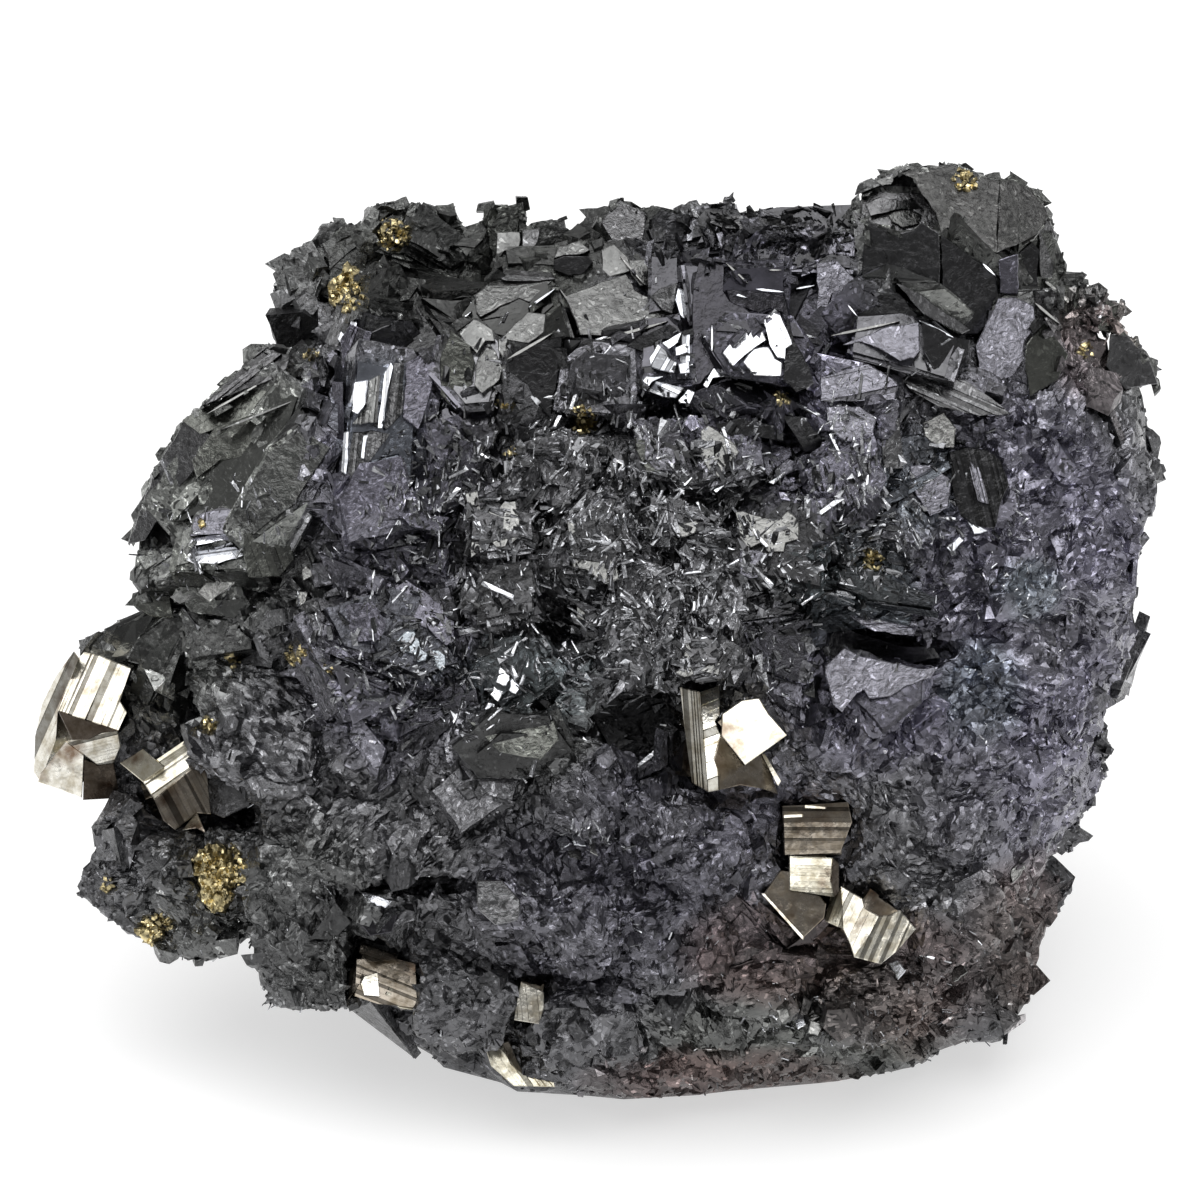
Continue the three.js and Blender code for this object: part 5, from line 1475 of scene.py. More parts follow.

# Bright edges and slivers that stand out singly, lit with painted highlight: [from across, up, to across, up,
# width, tone_and_painted_light].
STREAKS = [
    [-16, 26.3, -12.8, 28.9, 0.25, "silver"],
    [-7.2, 29.2, -4.4, 31.2, 0.25, "silver"],
    [-9.4, 24, -4.6, 26.8, 0.3, "pale"],
    [0.5, 26.1, 6.8, 27.9, 0.3, "pale"],
    [5.6, -2.2, 6.8, 0, 0.25, "silver"],
    [-16, 8.7, -14.5, 9.5, 0.3, "white"],
    [-12.4, 14.9, -11, 14.1, 0.3, "white"],
    [11.2, 24.8, 11.2, 27.6, 0.18, "white"],
    [12.6, 30.9, 14.8, 30.2, 0.25, "silver"],
    [15.5, 31.1, 18.5, 30.8, 0.25, "silver"],
    [19.5, 31.1, 21.6, 31.5, 0.2, "silver"],
    [12.5, 33.8, 14.9, 31.6, 0.2, "pale"],
    [16.8, 33, 18.3, 33, 0.2, "pale"],
    [38.2, 33.7, 39.6, 32.4, 0.25, "white"],
    [35.2, 35, 36, 34.2, 0.2, "silver"],
    [26.4, 38, 26.2, 32.4, 0.15, "pale"],
    [24.7, 29.6, 25.8, 28.3, 0.2, "silver"],
    [23, 26.4, 30, 27.9, 0.25, "pale"],
    [31.8, 28, 35.5, 26.2, 0.3, "silver"],
    [44, 32.3, 46.9, 30, 0.3, "pale"],
    [43.4, 29.8, 46, 27.6, 0.3, "pale"],
    [-39.5, 18.5, -31, 23.4, 0.2, "pale"],
    [-38, 17, -30, 20.2, 0.2, "grey"],
    [2, 34.4, 4.4, 31.6, 0.2, "pale"],
]


# A streak's corners: how far along it, and how far out to its side as a share of half its width.
STREAK_CORNERS = [(0, 0), (0.2, 1), (0.7, 0.8), (1, 0), (0.75, -0.8), (0.25, -1)]


def streak_face(x0, y0, x1, y1, width, tone_and_painted_light):
    """A long thin face between two places, tapered towards its ends."""
    along = np.array([x1 - x0, y1 - y0])
    across = np.array([-along[1], along[0]]) / np.linalg.norm(along) * width / 2
    outline = [tuple(np.array([x0, y0]) + a * along + b * across) for a, b in STREAK_CORNERS]
    return face(tone_and_painted_light, 25, -3, *outline, proud=1.0, depth=1.5, ragged=5)


CRYSTALS += [[streak_face(*row)] for row in STREAKS]

# Pyrite: colour to multiply the mineral's own by, and polish. These are painted light and shade:
# white and cream a painted highlight on faces turned to the light, bronze and umber painted shade
# on faces turned from it.
PYRITE_PAINTED_LIGHT_AND_SHADE = {
    "white": ((0.95, 1.0, 1.12), 1.0),
    "cream": ((0.76, 0.79, 0.86), 1.0),
    "tan": ((0.46, 0.48, 0.53), 1.0),
    "khaki": ((0.62, 0.64, 0.66), 1.0),
    "bronze": ((0.27, 0.26, 0.27), 1.0),
    "umber": ((0.09, 0.08, 0.08), 1.0),
}


def cube_face(*place, proud=0.3, depth=6, bands=None, grooves=0.22):
    """A face of a pyrite crystal: straight edged."""
    return face(*place, proud=proud, depth=depth, bands=bands, ragged=UNBROKEN, grooves=grooves)


# The faces of the pyrite crystals, by node.
PYRITE_CRYSTALS = {
    "pyrite_left_pair": [
        [cube_face("white", -14, -40, (-54.2, -11.1), (-52.1, -5.8), (-52.6, -5.1), (-54.4, -7.6),
            (-55.8, -10.4), (-56.5, -13.7), (-56.6, -17.3), (-56, -18.1), (-54.4, -14), proud=0,
            bands=(66, 0.2, 0.8))],
        [cube_face("tan", 0, -20, (-55.6, -16.5), (-55.2, -12), (-52.6, -7), (-48, -8), (-48.4, -16),
            (-52, -18.4), proud=-2.5, depth=8)],
        [
            cube_face("cream", 22, -8, (-54.2, -11.1), (-48.2, -13.1), (-47.3, -11.2), (-48, -10.1),
                (-46.9, -6.8), (-50.2, -5.5), (-51.6, -5.2), (-52.1, -5.8), bands=(66, 0.1, 0.8),
                grooves=0.2),
            cube_face("umber", -20, 0, (-54.2, -11.1), (-48.2, -13.1), (-49.8, -13.3), (-51.2, -14),
                (-52.8, -14)),
        ],
        [cube_face("white", -14, -10, (-53.4, -14.1), (-51.6, -15.5), (-51.8, -19.8), (-53.7, -19.1),
            (-56.2, -18.2), (-56, -17.4))],
        [
            cube_face("white", -16, 8, (-53.4, -14.1), (-52.6, -13.9), (-51.2, -14), (-49.8, -13.3),
                (-48.2, -13.1), (-47.9, -14.6), (-48.6, -16.3), (-50.3, -16.5), (-51.6, -15.5),
                bands=(14, 0.2, 0.5)),
            cube_face("umber", -10, 24, (-51.6, -15.9), (-50.3, -16.5), (-48.6, -16.3), (-48, -19.8),
                (-51.7, -20)),
        ],
    ],
    "pyrite_left_lower": [
        [
            cube_face("cream", 26, -4, (-45.7, -18.2), (-40.7, -14.7), (-39.8, -16), (-44.6, -19.9),
                bands=(35, 0.12, 0.5), grooves=0.35),
            cube_face("bronze", -4, 8, (-44.6, -19.9), (-39.8, -16), (-39.3, -17.4), (-38.9, -21.4),
                (-40.3, -21.3), (-42.5, -23), (-43.7, -22), bands=(-62, 0.2, 0.7)),
            cube_face("khaki", 8, -30, (-48, -16.3), (-45.7, -14.9), (-44.4, -16), (-43.6, -16.7),
                (-45.7, -18.2)),
        ],
        [cube_face("khaki", 20, 0, (-44.4, -16), (-41.2, -13.8), (-40.7, -14.7), (-43.6, -16.7),
            bands=(34, 0.12, 0.3))],
        [cube_face("white", 26, 0, (-41.8, -23), (-40.3, -21.2), (-39.4, -23.3), (-40.4, -22.8), proud=2,
            depth=2)],
    ],
    "pyrite_centre_pair": [
        [cube_face("tan", -14, -24, (10, -9.2), (10.3, -13.7), (10.8, -19.2), (9.2, -18.3), (8.6, -14),
            (8, -8.7), bands=(94, 0.1, 0.3), grooves=0.6)],
        [
            cube_face("white", 26, 2, (10, -9.2), (11.9, -8.6), (12, -11.4), (11.5, -12.2), (12.1, -13.5),
                (11.4, -15.9), (11.8, -16.9), (11.9, -19), (10.8, -19.2), (10.3, -13.7),
                bands=(20, 0.5, 2.0), grooves=0.04),
            cube_face("bronze", 2, 24, (12.1, -13.5), (14.4, -16.5), (16.1, -15.4), (17, -17),
                (17.8, -19.4), (15.9, -18.8), (14, -18.5), (11.9, -19), (11.8, -16.9), (11.4, -15.9)),
        ],
        [cube_face("cream", 25, 4, (12.2, -11.4), (14.2, -10), (15.9, -9.8), (16.9, -11.4), (18.7, -13.5),
            (14.5, -16.5), (12.1, -13.5), proud=0.7)],
        [cube_face("cream", 24, 0, (16.1, -15.3), (16.5, -15.4), (18.1, -18.1), (17.8, -18.6), proud=0.6,
            depth=1)],
    ],
    "pyrite_right_trio": [
        [
            cube_face("bronze", 0, 0, (18.2, -20.6), (20.4, -20.5), (24.8, -20.2), (25.2, -22.2),
                (18.3, -22.2), bands=(0, 0.4, 0.8)),
            cube_face("bronze", 12, 0, (18.3, -22.2), (25.2, -22.2), (24, -25.3), (18.4, -25.5),
                bands=(0, 0.12, 0.6)),
        ],
        [
            cube_face("khaki", 14, -2, (18.9, -25.6), (23.3, -25.8), (23.1, -28.1), (23.4, -29.7),
                (22, -29.5), (18.9, -29), proud=0.6, bands=(-2, 0.3, 1.0), grooves=0.06),
            cube_face("umber", 0, 50, (23.3, -25.8), (23.9, -26.3), (23.9, -29.2), (23.4, -29.7),
                (23.1, -28.1)),
        ],
        [
            cube_face("bronze", 6, -12, (18, -27), (18.9, -27.1), (18.9, -29), (22, -29.6), (22.6, -30.4),
                (22.4, -31.8), (20.4, -33.7), (16.4, -29.3)),
            cube_face("white", 26, -6, (16.4, -29.3), (20.4, -33.7), (20.3, -34), (16.1, -29.3)),
        ],
        [cube_face("cream", 26, 0, (18.3, -21.5), (20.3, -21.4), (20.3, -21.7), (18.3, -21.8), proud=0.9,
            depth=1)],
        [cube_face("cream", 26, 0, (20.4, -20.5), (22.6, -20.7), (22.6, -20.9), (20.4, -20.8), proud=0.9,
            depth=1)],
    ],
    "pyrite_right_ledged": [
        [
            cube_face("cream", 22, 6, (24.1, -28.6), (26.2, -29.8), (26.5, -30.8), (27.9, -31.6),
                (26.9, -33.6), (25.4, -35.7), (24.9, -34.2), (24.3, -32.9), proud=0.6, bands=(64, 0.2, 0.8),
                grooves=0.12),
            cube_face("cream", 18, 16, (27.9, -31.6), (29, -31.5), (30, -31), (31.6, -32.9), (29.7, -35.1),
                (28.1, -36.4), (25.4, -35.7), (26.9, -33.6), bands=(66, 0.15, 0.6)),
            cube_face("khaki", 10, -20, (24.1, -28.6), (24.3, -32.9), (22.5, -32.1), (23, -29.7),
                bands=(70, 0.2, 0.7)),
        ],
    ],
    "pyrite_lower_left_pair": [
        [cube_face("bronze", 22, -4, (-24.4, -35.9), (-21.4, -35.6), (-18.4, -36.4), (-18.2, -40.8),
            (-22.2, -40.4), (-24.6, -39.6), proud=-0.3, bands=(-22, 0.15, 0.6))],
        [
            cube_face("white", 25, 0, (-24, -38.4), (-23.6, -37.6), (-22.2, -37.2), (-22, -39.7),
                (-23.6, -39.5)),
            cube_face("bronze", 6, -30, (-25, -37), (-24.2, -36), (-23.6, -37.6), (-24, -38.4),
                (-25.2, -40), bands=(80, 0.2, 0.6)),
        ],
        [cube_face("khaki", 14, 6, (-21.6, -39.6), (-21, -38.5), (-19.8, -38.2), (-18.4, -39),
            (-18.6, -41), (-20, -40.8), bands=(-20, 0.2, 0.8))],
        [cube_face("bronze", 30, 0, (-23.8, -34.2), (-20.2, -35.5), (-20.4, -36), (-23, -36.2),
            (-24.2, -35.2), depth=2, bands=(-20, 0.12, 0.5))],
    ],
    "pyrite_lower_middle": [
        [cube_face("tan", 12, 0, (-7.9, -38.1), (-6.4, -38.8), (-5.6, -39.2), (-5.6, -40.8), (-6.1, -42.4),
            (-8.6, -42), (-8.3, -40), proud=1.2, bands=(-84, 0.4, 1.4), grooves=0.08)],
    ],
    "pyrite_base_edge": [
        [cube_face("khaki", 18, 0, (-11.5, -44.6), (-9.8, -44.4), (-9, -46.4), (-7.6, -47.6),
            (-4.6, -48.2), (-4.5, -48.7), (-8.6, -48.6), (-10.9, -46.6), proud=1.0, depth=2,
            bands=(-55, 0.25, 0.9), grooves=0.12)],
    ],
}

# Grains of chalcopyrite besides the larger patches: [across, up, radius].
GOLD_SPOTS = [
    [-36.8, -6.1, 0.7],
    [-38.9, -12.4, 0.8],
    [-49.2, -28.5, 0.7],
    [-9.8, 19.7, 0.7],
    [-1.8, 18.0, 1.4],
    [-27.3, -6.8, 0.5],
    [-9.0, 14.8, 0.6],
    [36.5, 42.0, 1.2],
    [-30.4, -5.4, 1.0],
    [27.3, 3.8, 1.0],
    [-25.3, 30.3, 1.6],
    [-20.6, 36.4, 1.6],
    [-37.6, -26.6, 2.4],
    [-44.0, -32.3, 1.2],
    [-39.9, 7.6, 0.4],
    [48.5, 25.0, 0.8],
    [-28.8, 24.4, 0.7],
    [18.2, 20.3, 0.7],
]


def tree_of(meshes):
    """A search tree over several meshes, each given as points and triangles."""
    firsts = np.cumsum([0] + [len(points) for points, _ in meshes])
    points = np.vstack([points for points, _ in meshes])
    triangles = np.vstack([mesh[1] + first for mesh, first in zip(meshes, firsts)])
    return BVHTree.FromPolygons(points.tolist(), triangles.tolist())


def sight(tree, across, up):
    """Where the line of sight through (across, up) meets the surface, or None."""
    way = unit(sight_lines([[across, up]])[0])
    place = tree.ray_cast(Vector(EYE), Vector(way))[0]
    return None if place is None else np.array(place)


def on_plane(outline, middle, normal):
    """The outline's lines of sight, met with a plane."""
    ways = sight_lines(outline)
    reach = ((middle - EYE) @ normal) / (ways @ normal)
    return EYE + ways * reach[:, None]


def ragged(outline, step, wander):
    """An outline whose sides wander a little, as broken edges do."""
    made = []
    for i in range(len(outline)):
        start, end = np.array(outline[i]), np.array(outline[(i + 1) % len(outline)])
        pieces = max(1, round(float(np.linalg.norm(end - start)) / step))
        made.append(start)
        for k in range(1, pieces):
            made.append(start + (end - start) * k / pieces + draws.uniform(-wander, wander, 2))
    return np.array(made)


def within(seen, outline):
    """Which of the seen places lie inside an outline."""
    corners = np.array(outline, float)
    inside = np.zeros(len(seen), bool)
    for (x0, y0), (x1, y1) in zip(corners, np.roll(corners, -1, axis=0)):
        if y0 == y1:
            continue
        crosses = (y0 > seen[:, 1]) != (y1 > seen[:, 1])
        at = x0 + (seen[:, 1] - y0) * (x1 - x0) / (y1 - y0)
        inside ^= crosses & (seen[:, 0] < at)
    return inside


def nearest_tree(places):
    """A search tree of places."""
    tree = KDTree(len(places))
    for i, place in enumerate(places):
        tree.insert(place, i)
    tree.balance()
    return tree


def faces_map(step):
    """A search tree of the places on a grid that lie under some crystal face or ore patch."""
    grid = np.stack(np.meshgrid(np.arange(-60, 60, step), np.arange(-54, 46, step)), axis=-1).reshape(-1, 2)
    covered = np.zeros(len(grid), bool)
    crystals = [crystal for crystals in PYRITE_CRYSTALS.values() for crystal in crystals] + CRYSTALS
    for crystal in crystals:
        for face in crystal:
            covered |= within(grid, face["outline"])
    for across, up, radius in GOLD_SPOTS:
        covered |= np.hypot(grid[:, 0] - across, grid[:, 1] - up) < radius
    return nearest_tree([(*place, 0) for place in grid[covered]])


def near_faces(points, margin):
    """Which points on the front show within a margin of the listed crystal faces."""
    seen = as_seen(points)
    front = to_face(points)[:, 2] > -FRONT_DEPTH
    away = np.array([FACES_MAP.find((*place, 0))[2] for place in seen])
    return (away < margin) & front


def winding(outline):
    """Positive where a seen outline runs anticlockwise."""
    following = np.roll(outline, -1, axis=0)
    return (outline[:, 0] * following[:, 1] - outline[:, 1] * following[:, 0]).sum()


RIM = 0.1  # the width of a face's worn edge
RIM_PAINTED_HIGHLIGHT = 1.9  # how much lighter it is than the face, a painted highlight along the edge
SLAB_FOOT_SHADE = 0.6  # and how dark the far end of the slab is beside the face, painted shade where it goes into the stone


def slab(outline, middle, normal, depth, tint):
    """A closed body whose front is a flat outline; it runs away from the eye, so its sides stay hidden."""
    if winding(outline) < 0:
        outline = outline[::-1]
    count = len(outline)
    edge = on_plane(outline, middle, normal)
    centre = edge.mean(axis=0)
    reach = np.linalg.norm(edge - centre, axis=1, keepdims=True)
    top = edge + (centre - edge) * np.minimum(RIM / np.maximum(reach, 1e-6), 0.3)
    ways = unit(edge - EYE)
    shoulder = edge + ways * RIM
    bottom = edge + ways * depth
    faces = []
    for a, b, c in tessellate_polygon([[Vector((*place, 0)) for place in outline]]):
        if np.cross(outline[b] - outline[a], outline[c] - outline[a]) < 0:
            b, c = c, b
        faces += [[2 * count + a, 2 * count + b, 2 * count + c], [a, c, b]]
    for i in range(count):
        j = (i + 1) % count
        for low in (0, count):
            faces += [[low + i, low + j, low + count + j], [low + i, low + count + j, low + count + i]]
    tints = np.repeat(np.array(tint, float)[None], 3 * count, axis=0)
    # painted shade at the slab's far end, where it goes into the stone
    tints[:count, :3] *= SLAB_FOOT_SHADE
    # painted highlight along the face's edge
    tints[count : 2 * count, :3] *= RIM_PAINTED_HIGHLIGHT
    return np.vstack([bottom, shoulder, top]), faces, tints


def bands(outline, bearing, narrow, wide):
    """An outline cut into parallel bands that run along a bearing, in degrees up from across."""
    turn = math.radians(bearing)
    facing = np.array([-math.sin(turn), math.cos(turn)])
    height = outline @ facing
    line = height.min()
    while line < height.max() - 0.02:
        width = narrow * (wide / narrow) ** draws.random()
        band = clipped(clipped(outline, facing, line + width), -facing, -line)
        if len(band) >= 3:
            yield band
        line += width


FACE_WANDER = 0.09  # how far a face's broken edge wanders to either side
GROOVE_SHADE, GROOVE_SUNK = 0.3, 0.12  # a groove's lightness, painted shade, and how far it lies back
BAND_LIGHT, BAND_SUNK = (0.8, 1.1), (0, 0.06)  # and from and to for the other bands
BAND_LEAN = 0.024


def face_solids(solids, face, middle, normal, tones_and_painted_light):
    """Adds one face, whole or in bands that each lean their own way a little."""
    # the face's colour from the table; its lighter and darker copies of the stone are painted highlight and
    # painted shade
    colour, polish = tones_and_painted_light[face["tone_and_painted_light"]]
    colour = np.array(colour)
    outline = ragged(face["outline"], face["ragged"], FACE_WANDER)
    if not face["bands"]:
        tint = [*(colour * draws.uniform(0.9, 1.1)), polish]
        solids.add(*slab(outline, middle, normal, face["depth"], tint))
        return
    for band in bands(outline, *face["bands"]):
        groove = draws.random() < face["grooves"]
        # a groove is darkened with painted shade as well as sunk
        share = GROOVE_SHADE if groove else draws.uniform(*BAND_LIGHT)
        leaning = unit(normal + draws.normal(size=3) * BAND_LEAN)
        centre = on_plane(band.mean(axis=0)[None], middle, normal)[0]
        centre = centre - normal * (GROOVE_SUNK if groove else draws.uniform(*BAND_SUNK))
        solids.add(*slab(band, centre, leaning, face["depth"], [*(colour * share), polish]))


def crystal_solids(solids, crystal, tree, tones_and_painted_light):
    """The faces of one crystal. A face that shares corners with an earlier one is hinged on them."""
    corners = {}
    for face in crystal:
        normal = facing_way(face["lean"], face["turn"])
        outline = [tuple(corner) for corner in face["outline"]]
        shared = [corners[corner] for corner in outline if corner in corners]
        if len(shared) >= 2:
            hinge = unit(shared[-1] - shared[0])
            normal = unit(normal - hinge * (normal @ hinge))
            middle = shared[0]
        elif shared:
            middle = shared[0]
        else:
            spots = [sight(tree, *corner) for corner in outline + [np.mean(outline, axis=0)]]
            spots = np.array([spot for spot in spots if spot is not None])
            if not len(spots):
                continue
            middle = normal * (np.quantile(spots @ normal, 0.6) + face["proud"])
        for corner, place in zip(outline, on_plane(outline, middle, normal)):
            corners.setdefault(corner, place)
        face_solids(solids, face, middle, normal, tones_and_painted_light)


# ---------------------------------------------------------------- the mass

# The longest edge of the refined mass, by what part of it the edge is in.
FINE_EDGE = 0.82
FRONT_EDGE = 1.15
CLEAN_EDGE = 2.2
BACK_EDGE = 3.2
FRONT_ENDS, BACK_STARTS = 4, -8  # between these, out of the face, the front's edge goes over to the back's

mass_points, mass_triangles = mesh_arrays(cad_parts[MASS])
mass_facets = Facets(mass_points, mass_triangles)


def edge_limit(places):
    """The longest that an edge may be at each place on the mass."""
    out = to_face(places)[:, 2]
    front = FRONT_EDGE + (CLEAN_EDGE - FRONT_EDGE) * np.clip(cleanness(places), 0, 1)
    front = front + (FINE_EDGE - front) * fineness(places)
    return front + (BACK_EDGE - front) * np.clip((FRONT_ENDS - out) / (FRONT_ENDS - BACK_STARTS), 0, 1)


def vertex_normals(points, triangles):
    """Each point's normal, from the triangles round it by their area."""
    normals, areas = triangle_normals(points, triangles)
    weighted = normals * areas[:, None]
    return unit(sum(sums(triangles[:, i], weighted, len(points)) for i in range(3)))


CREVICE_REACH = 1.1  # the stone sinks away within this of an inward crease
CREVICE_DEPTH = 1.1
CREASE_STEP = 0.5  # between the places that stand for a crease
CREASE_BEND = 0.93  # two facets make a crease where the cosine between them is under this


def inward_creases(points, triangles):
    """Places along the creases where two facets meet in a valley, a short step apart."""
    edge, left, right = shared_sides(triangles)
    normals, _ = triangle_normals(points, triangles)
    middle = points[triangles].mean(axis=1)
    valley = (normals[left] * (middle[right] - middle[left])).sum(axis=1) > 0.02
    bent = (normals[left] * normals[right]).sum(axis=1) < CREASE_BEND
    edge = edge[valley & bent]
    start, end = points[edge[:, 0]], points[edge[:, 1]]
    steps = np.maximum(1, np.ceil(np.linalg.norm(end - start, axis=1) / CREASE_STEP)).astype(int)
    which = np.repeat(np.arange(len(edge)), steps)
    share = np.concatenate([(np.arange(n) + 0.5) / n for n in steps])
    return start[which] + (end - start)[which] * share[:, None]


def nearness(points, places, reach):
    """1 at the places and 0 beyond reach of them."""
    tree = nearest_tree(places)
    distance = np.array([tree.find(point)[2] for point in points])
    return np.clip(1 - distance / reach, 0, 1)


# Layers of relief: [height, size of the flat pieces, number of the noise, how much they lean].
BROKEN = [[0.30, 2.6, 11, 1.2], [0.18, 1.1, 23, 1.2]]
LUMPS = [[0.7, 6.5, 47, 0.9], [0.3, 2.4, 53, 1.2]]
GRAIN = [[0.04, 1.6, 41, 1.0]]
HACKLY = [[1.0, 0.9, 71, 1.2]]
WEAR, WEAR_ROUNDS = 0.6, 24  # how much of the way to its neighbours a point goes, and how many times
SETTLED_FROM, SETTLED_OVER = 0.3, 1.5  # the foot is left as it is, and the relief sets in above it
MASS_SMOOTH_BELOW = 30  # degrees between two triangles, under which the mass looks smooth


def relief(points, layers):
    """The height of all the layers together at each point."""
    return sum(height * shards(points, size, salt, lean) for height, size, salt, lean in layers)


def dress_mass():
    """The mass with its crystal faces kept, its seams deepened and its fine-grained parts worn round."""
    start, triangles, owner = refined(mass_points, mass_triangles, edge_limit)
    settled = np.clip((start[:, 2] - SETTLED_FROM) / SETTLED_OVER, 0, 1)
    fine = fineness(start)
    seam = nearness(start, inward_creases(mass_points, mass_triangles), CREVICE_REACH)
    points = melted(start, triangles, WEAR * fine * settled, WEAR_ROUNDS)
    outward = vertex_normals(points, triangles)
    swell = 0.6 * (mist(points, 5, 5) - 0.5)
    heave = (1 - cleanness(points)) * (relief(points, BROKEN) + swell)
    heave = heave + fine * relief(points, LUMPS) + relief(points, GRAIN)
    heave -= CREVICE_DEPTH * seam * (1 - fine) * np.clip(2.2 * mist(points, 4, 83) - 0.4, 0, 1.4)
    moved = points + outward * (heave * settled)[:, None]
    moved[:, 2] = np.maximum(moved[:, 2], np.minimum(start[:, 2], SETTLED_FROM))
    tint = stone_tint(points, 0.2 + 0.7 * mist(points, 1.5, 61)) * (1 + 0.3 * fine)[:, None]
    tint = np.hstack([tint, 1 - 0.6 * fine[:, None]])
    piece = add_piece("blende_mass", moved, triangles, BLENDE, tint, MASS_SMOOTH_BELOW)
    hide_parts(MASS)
    return moved, triangles, owner


FACES_MAP_STEP = 0.4

dressed_points, dressed_triangles, dressed_owner = dress_mass()
FACES_MAP = faces_map(FACES_MAP_STEP)
ORE = {name: mesh_arrays(thing) for name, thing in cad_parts.items() if name != MASS}
SIGHTS = tree_of([(dressed_points, dressed_triangles)] + list(ORE.values()))
GOLD = tree_of([mesh for name, mesh in ORE.items() if name.startswith("chalcopyrite")])
GOLD_MARGIN = 0.9  # how far the small crystals keep from chalcopyrite


def make_crystals():
    """The listed crystal faces, as one piece."""
    solids = Solids()
    for crystal in CRYSTALS:
        crystal_solids(solids, crystal, SIGHTS, TONES_AND_PAINTED_LIGHT)
    solids.piece("crystal_faces", BLENDE, "sphalerite")


make_crystals()

# ---------------------------------------------------------------- what lies and grows on the mass

# The pieces that together make what is seen of the stone's front.
CRUST = ("blende_mass", "plates_clean", "plates_rough", "crystals_large", "druse_large", "crystal_faces")
PLATED_FROM = 4  # no plates on facets whose middle is lower than this
LEAST_PLATED = 1.6  # nor on facets of a smaller area
STOCKY = 0.22  # nor, at the back, on those whose area is a smaller share of their length squared
CLEAN_FROM = 0.4  # a facet counts as clean from here on

# What each facet of the mass is.
facet_out = mass_facets.normal @ OUT
facet_clean = cleanness(mass_facets.middle)
facet_front = (facet_out > -0.2) & (to_face(mass_facets.middle)[:, 2] > -FRONT_DEPTH)
platable = (mass_facets.area > LEAST_PLATED) & (mass_facets.middle[:, 2] > PLATED_FROM)
rough = facet_front & (facet_out > 0.2) & (facet_clean <= CLEAN_FROM) & (fineness(mass_facets.middle) < 0.5)
stocky = mass_facets.area > STOCKY * mass_facets.length**2
lay_plates("plates_clean", np.flatnonzero(platable & (facet_clean > CLEAN_FROM)), per_facet=(3, 6),
           share=(0.8, 1.0), tilt=1, thick=(0.08, 0.3), fray=1.1, polish=(0.1, 0.4))
lay_plates("plates_rough", np.flatnonzero(platable & rough), per_facet=(3, 7),
           share=(0.6, 1.05), tilt=6, thick=(0.2, 0.8), fray=1.1, polish=(0.4, 1.0))
lay_plates("plates_back", np.flatnonzero(platable & ~facet_front & (facet_out < -0.5) & stocky),
           per_facet=(2, 4), share=(0.5, 0.92), tilt=2, thick=(0.15, 0.5), fray=2.0, polish=(0.4, 1.0))

ON_FACES = 0.04  # how thickly things grow on the listed faces, as a share of elsewhere
MID_DEPTH = 12  # the front's crystals reach this far behind the face's plane

# How thickly each kind of crystal grows on each triangle of the dressed mass.
ground = Ground(dressed_points, dressed_triangles, mass_facets, mass_facets.number[dressed_owner])
ground_out = ground.normal @ OUT
off_floor = ground.middle[:, 2] > 0.5
on_front = (ground_out > -0.15) & (to_face(ground.middle)[:, 2] > -MID_DEPTH)
clean_here = cleanness(ground.middle)
fine_here = fineness(ground.middle)
bare = np.where(near_faces(ground.middle, 0.5), ON_FACES, 1.0)
fine_grained = on_front * off_floor * (0.06 + fine_here + 0.5 * (1 - clean_here)) * bare
blocky = on_front * off_floor * (1.04 - clean_here) * bare * (1 - 0.9 * fine_here)
faces_out = np.clip(2 * ground_out - 0.3, 0.02, 1)
back = ~on_front * off_floor
turned_away = back * (ground_out < -0.5)
glinting = fine_grained * off_floor * (0.12 + in_patches(ground.middle, GLINT_PATCHES))

grow("crystals_large", ground, 360, blocky * faces_out, width=(1.3, 3.0), flatness=(0.5, 0.9),
     jitter=0.5, wild=0.7, sunk=(0.4, 0.8))
grow("druse_large", ground, 1800, blocky, width=(0.6, 1.5), flatness=(0.5, 1.0),
     jitter=0.35, wild=0.4, sunk=(0.4, 0.8))
grow("druse_middle", ground, 4000, blocky + 0.1 * fine_grained, width=(0.25, 0.7), flatness=(0.5, 1.2),
     jitter=0.35, wild=0.4, sunk=(0.35, 0.7))
strew("splinters_face", *ground.places(11000, fine_grained), (0.12, 0.7), (0.12, 0.35), 0.12)
strew("glints", *ground.places(3600, glinting), (0.12, 0.8), (0.1, 0.25), 0.2, glint_tints(3600, 0.1, 1))

# Long slivers on the crust as it is seen. Half of those that fall on the listed faces are left
# out, and half of the same places, drawn anew, get a dark crumb of painted shade standing for a pit.
crust = tree_of([MADE[name] for name in CRUST])
places, normals = seen_places(crust, 3800, SLIVER_PATCHES)
covered = near_faces(places, 0.3)
slivers = ~(covered & (draws.random(len(places)) < 0.5))
shade_crumbs = covered & (draws.random(len(places)) < 0.5)
tints = glint_tints(slivers.sum(), 0.05, 0.95)
strew("slivers", places[slivers], normals[slivers], (0.25, 1.7), (0.07, 0.24), 0.2, tints)
tints = np.full((shade_crumbs.sum(), 3), 0.012)
strew("shade_crumbs", places[shade_crumbs], normals[shade_crumbs], (0.08, 0.3), (0.3, 0.9), 0.3, tints)
places, normals = seen_places(crust, 2600, FLAKE_PATCHES)
strew("flakes", places, normals, (0.3, 1.1), (0.3, 0.8), 0.35, glint_tints(len(places), 0.02, 0.4))
strew("flakes_ledge", *seen_places(crust, 600, LEDGE_PATCHES), (0.3, 1.4), (0.25, 0.7), 0.4)
strew("splinters_back", *ground.places(4000, back), (0.3, 1.3), (0.12, 0.35), 0.15)
grow("druse_back_large", ground, 1500, turned_away + 0.15 * back, width=(0.7, 2.2), flatness=(0.5, 1.0),
     jitter=0.35, wild=0.35, sunk=(0.4, 0.8))
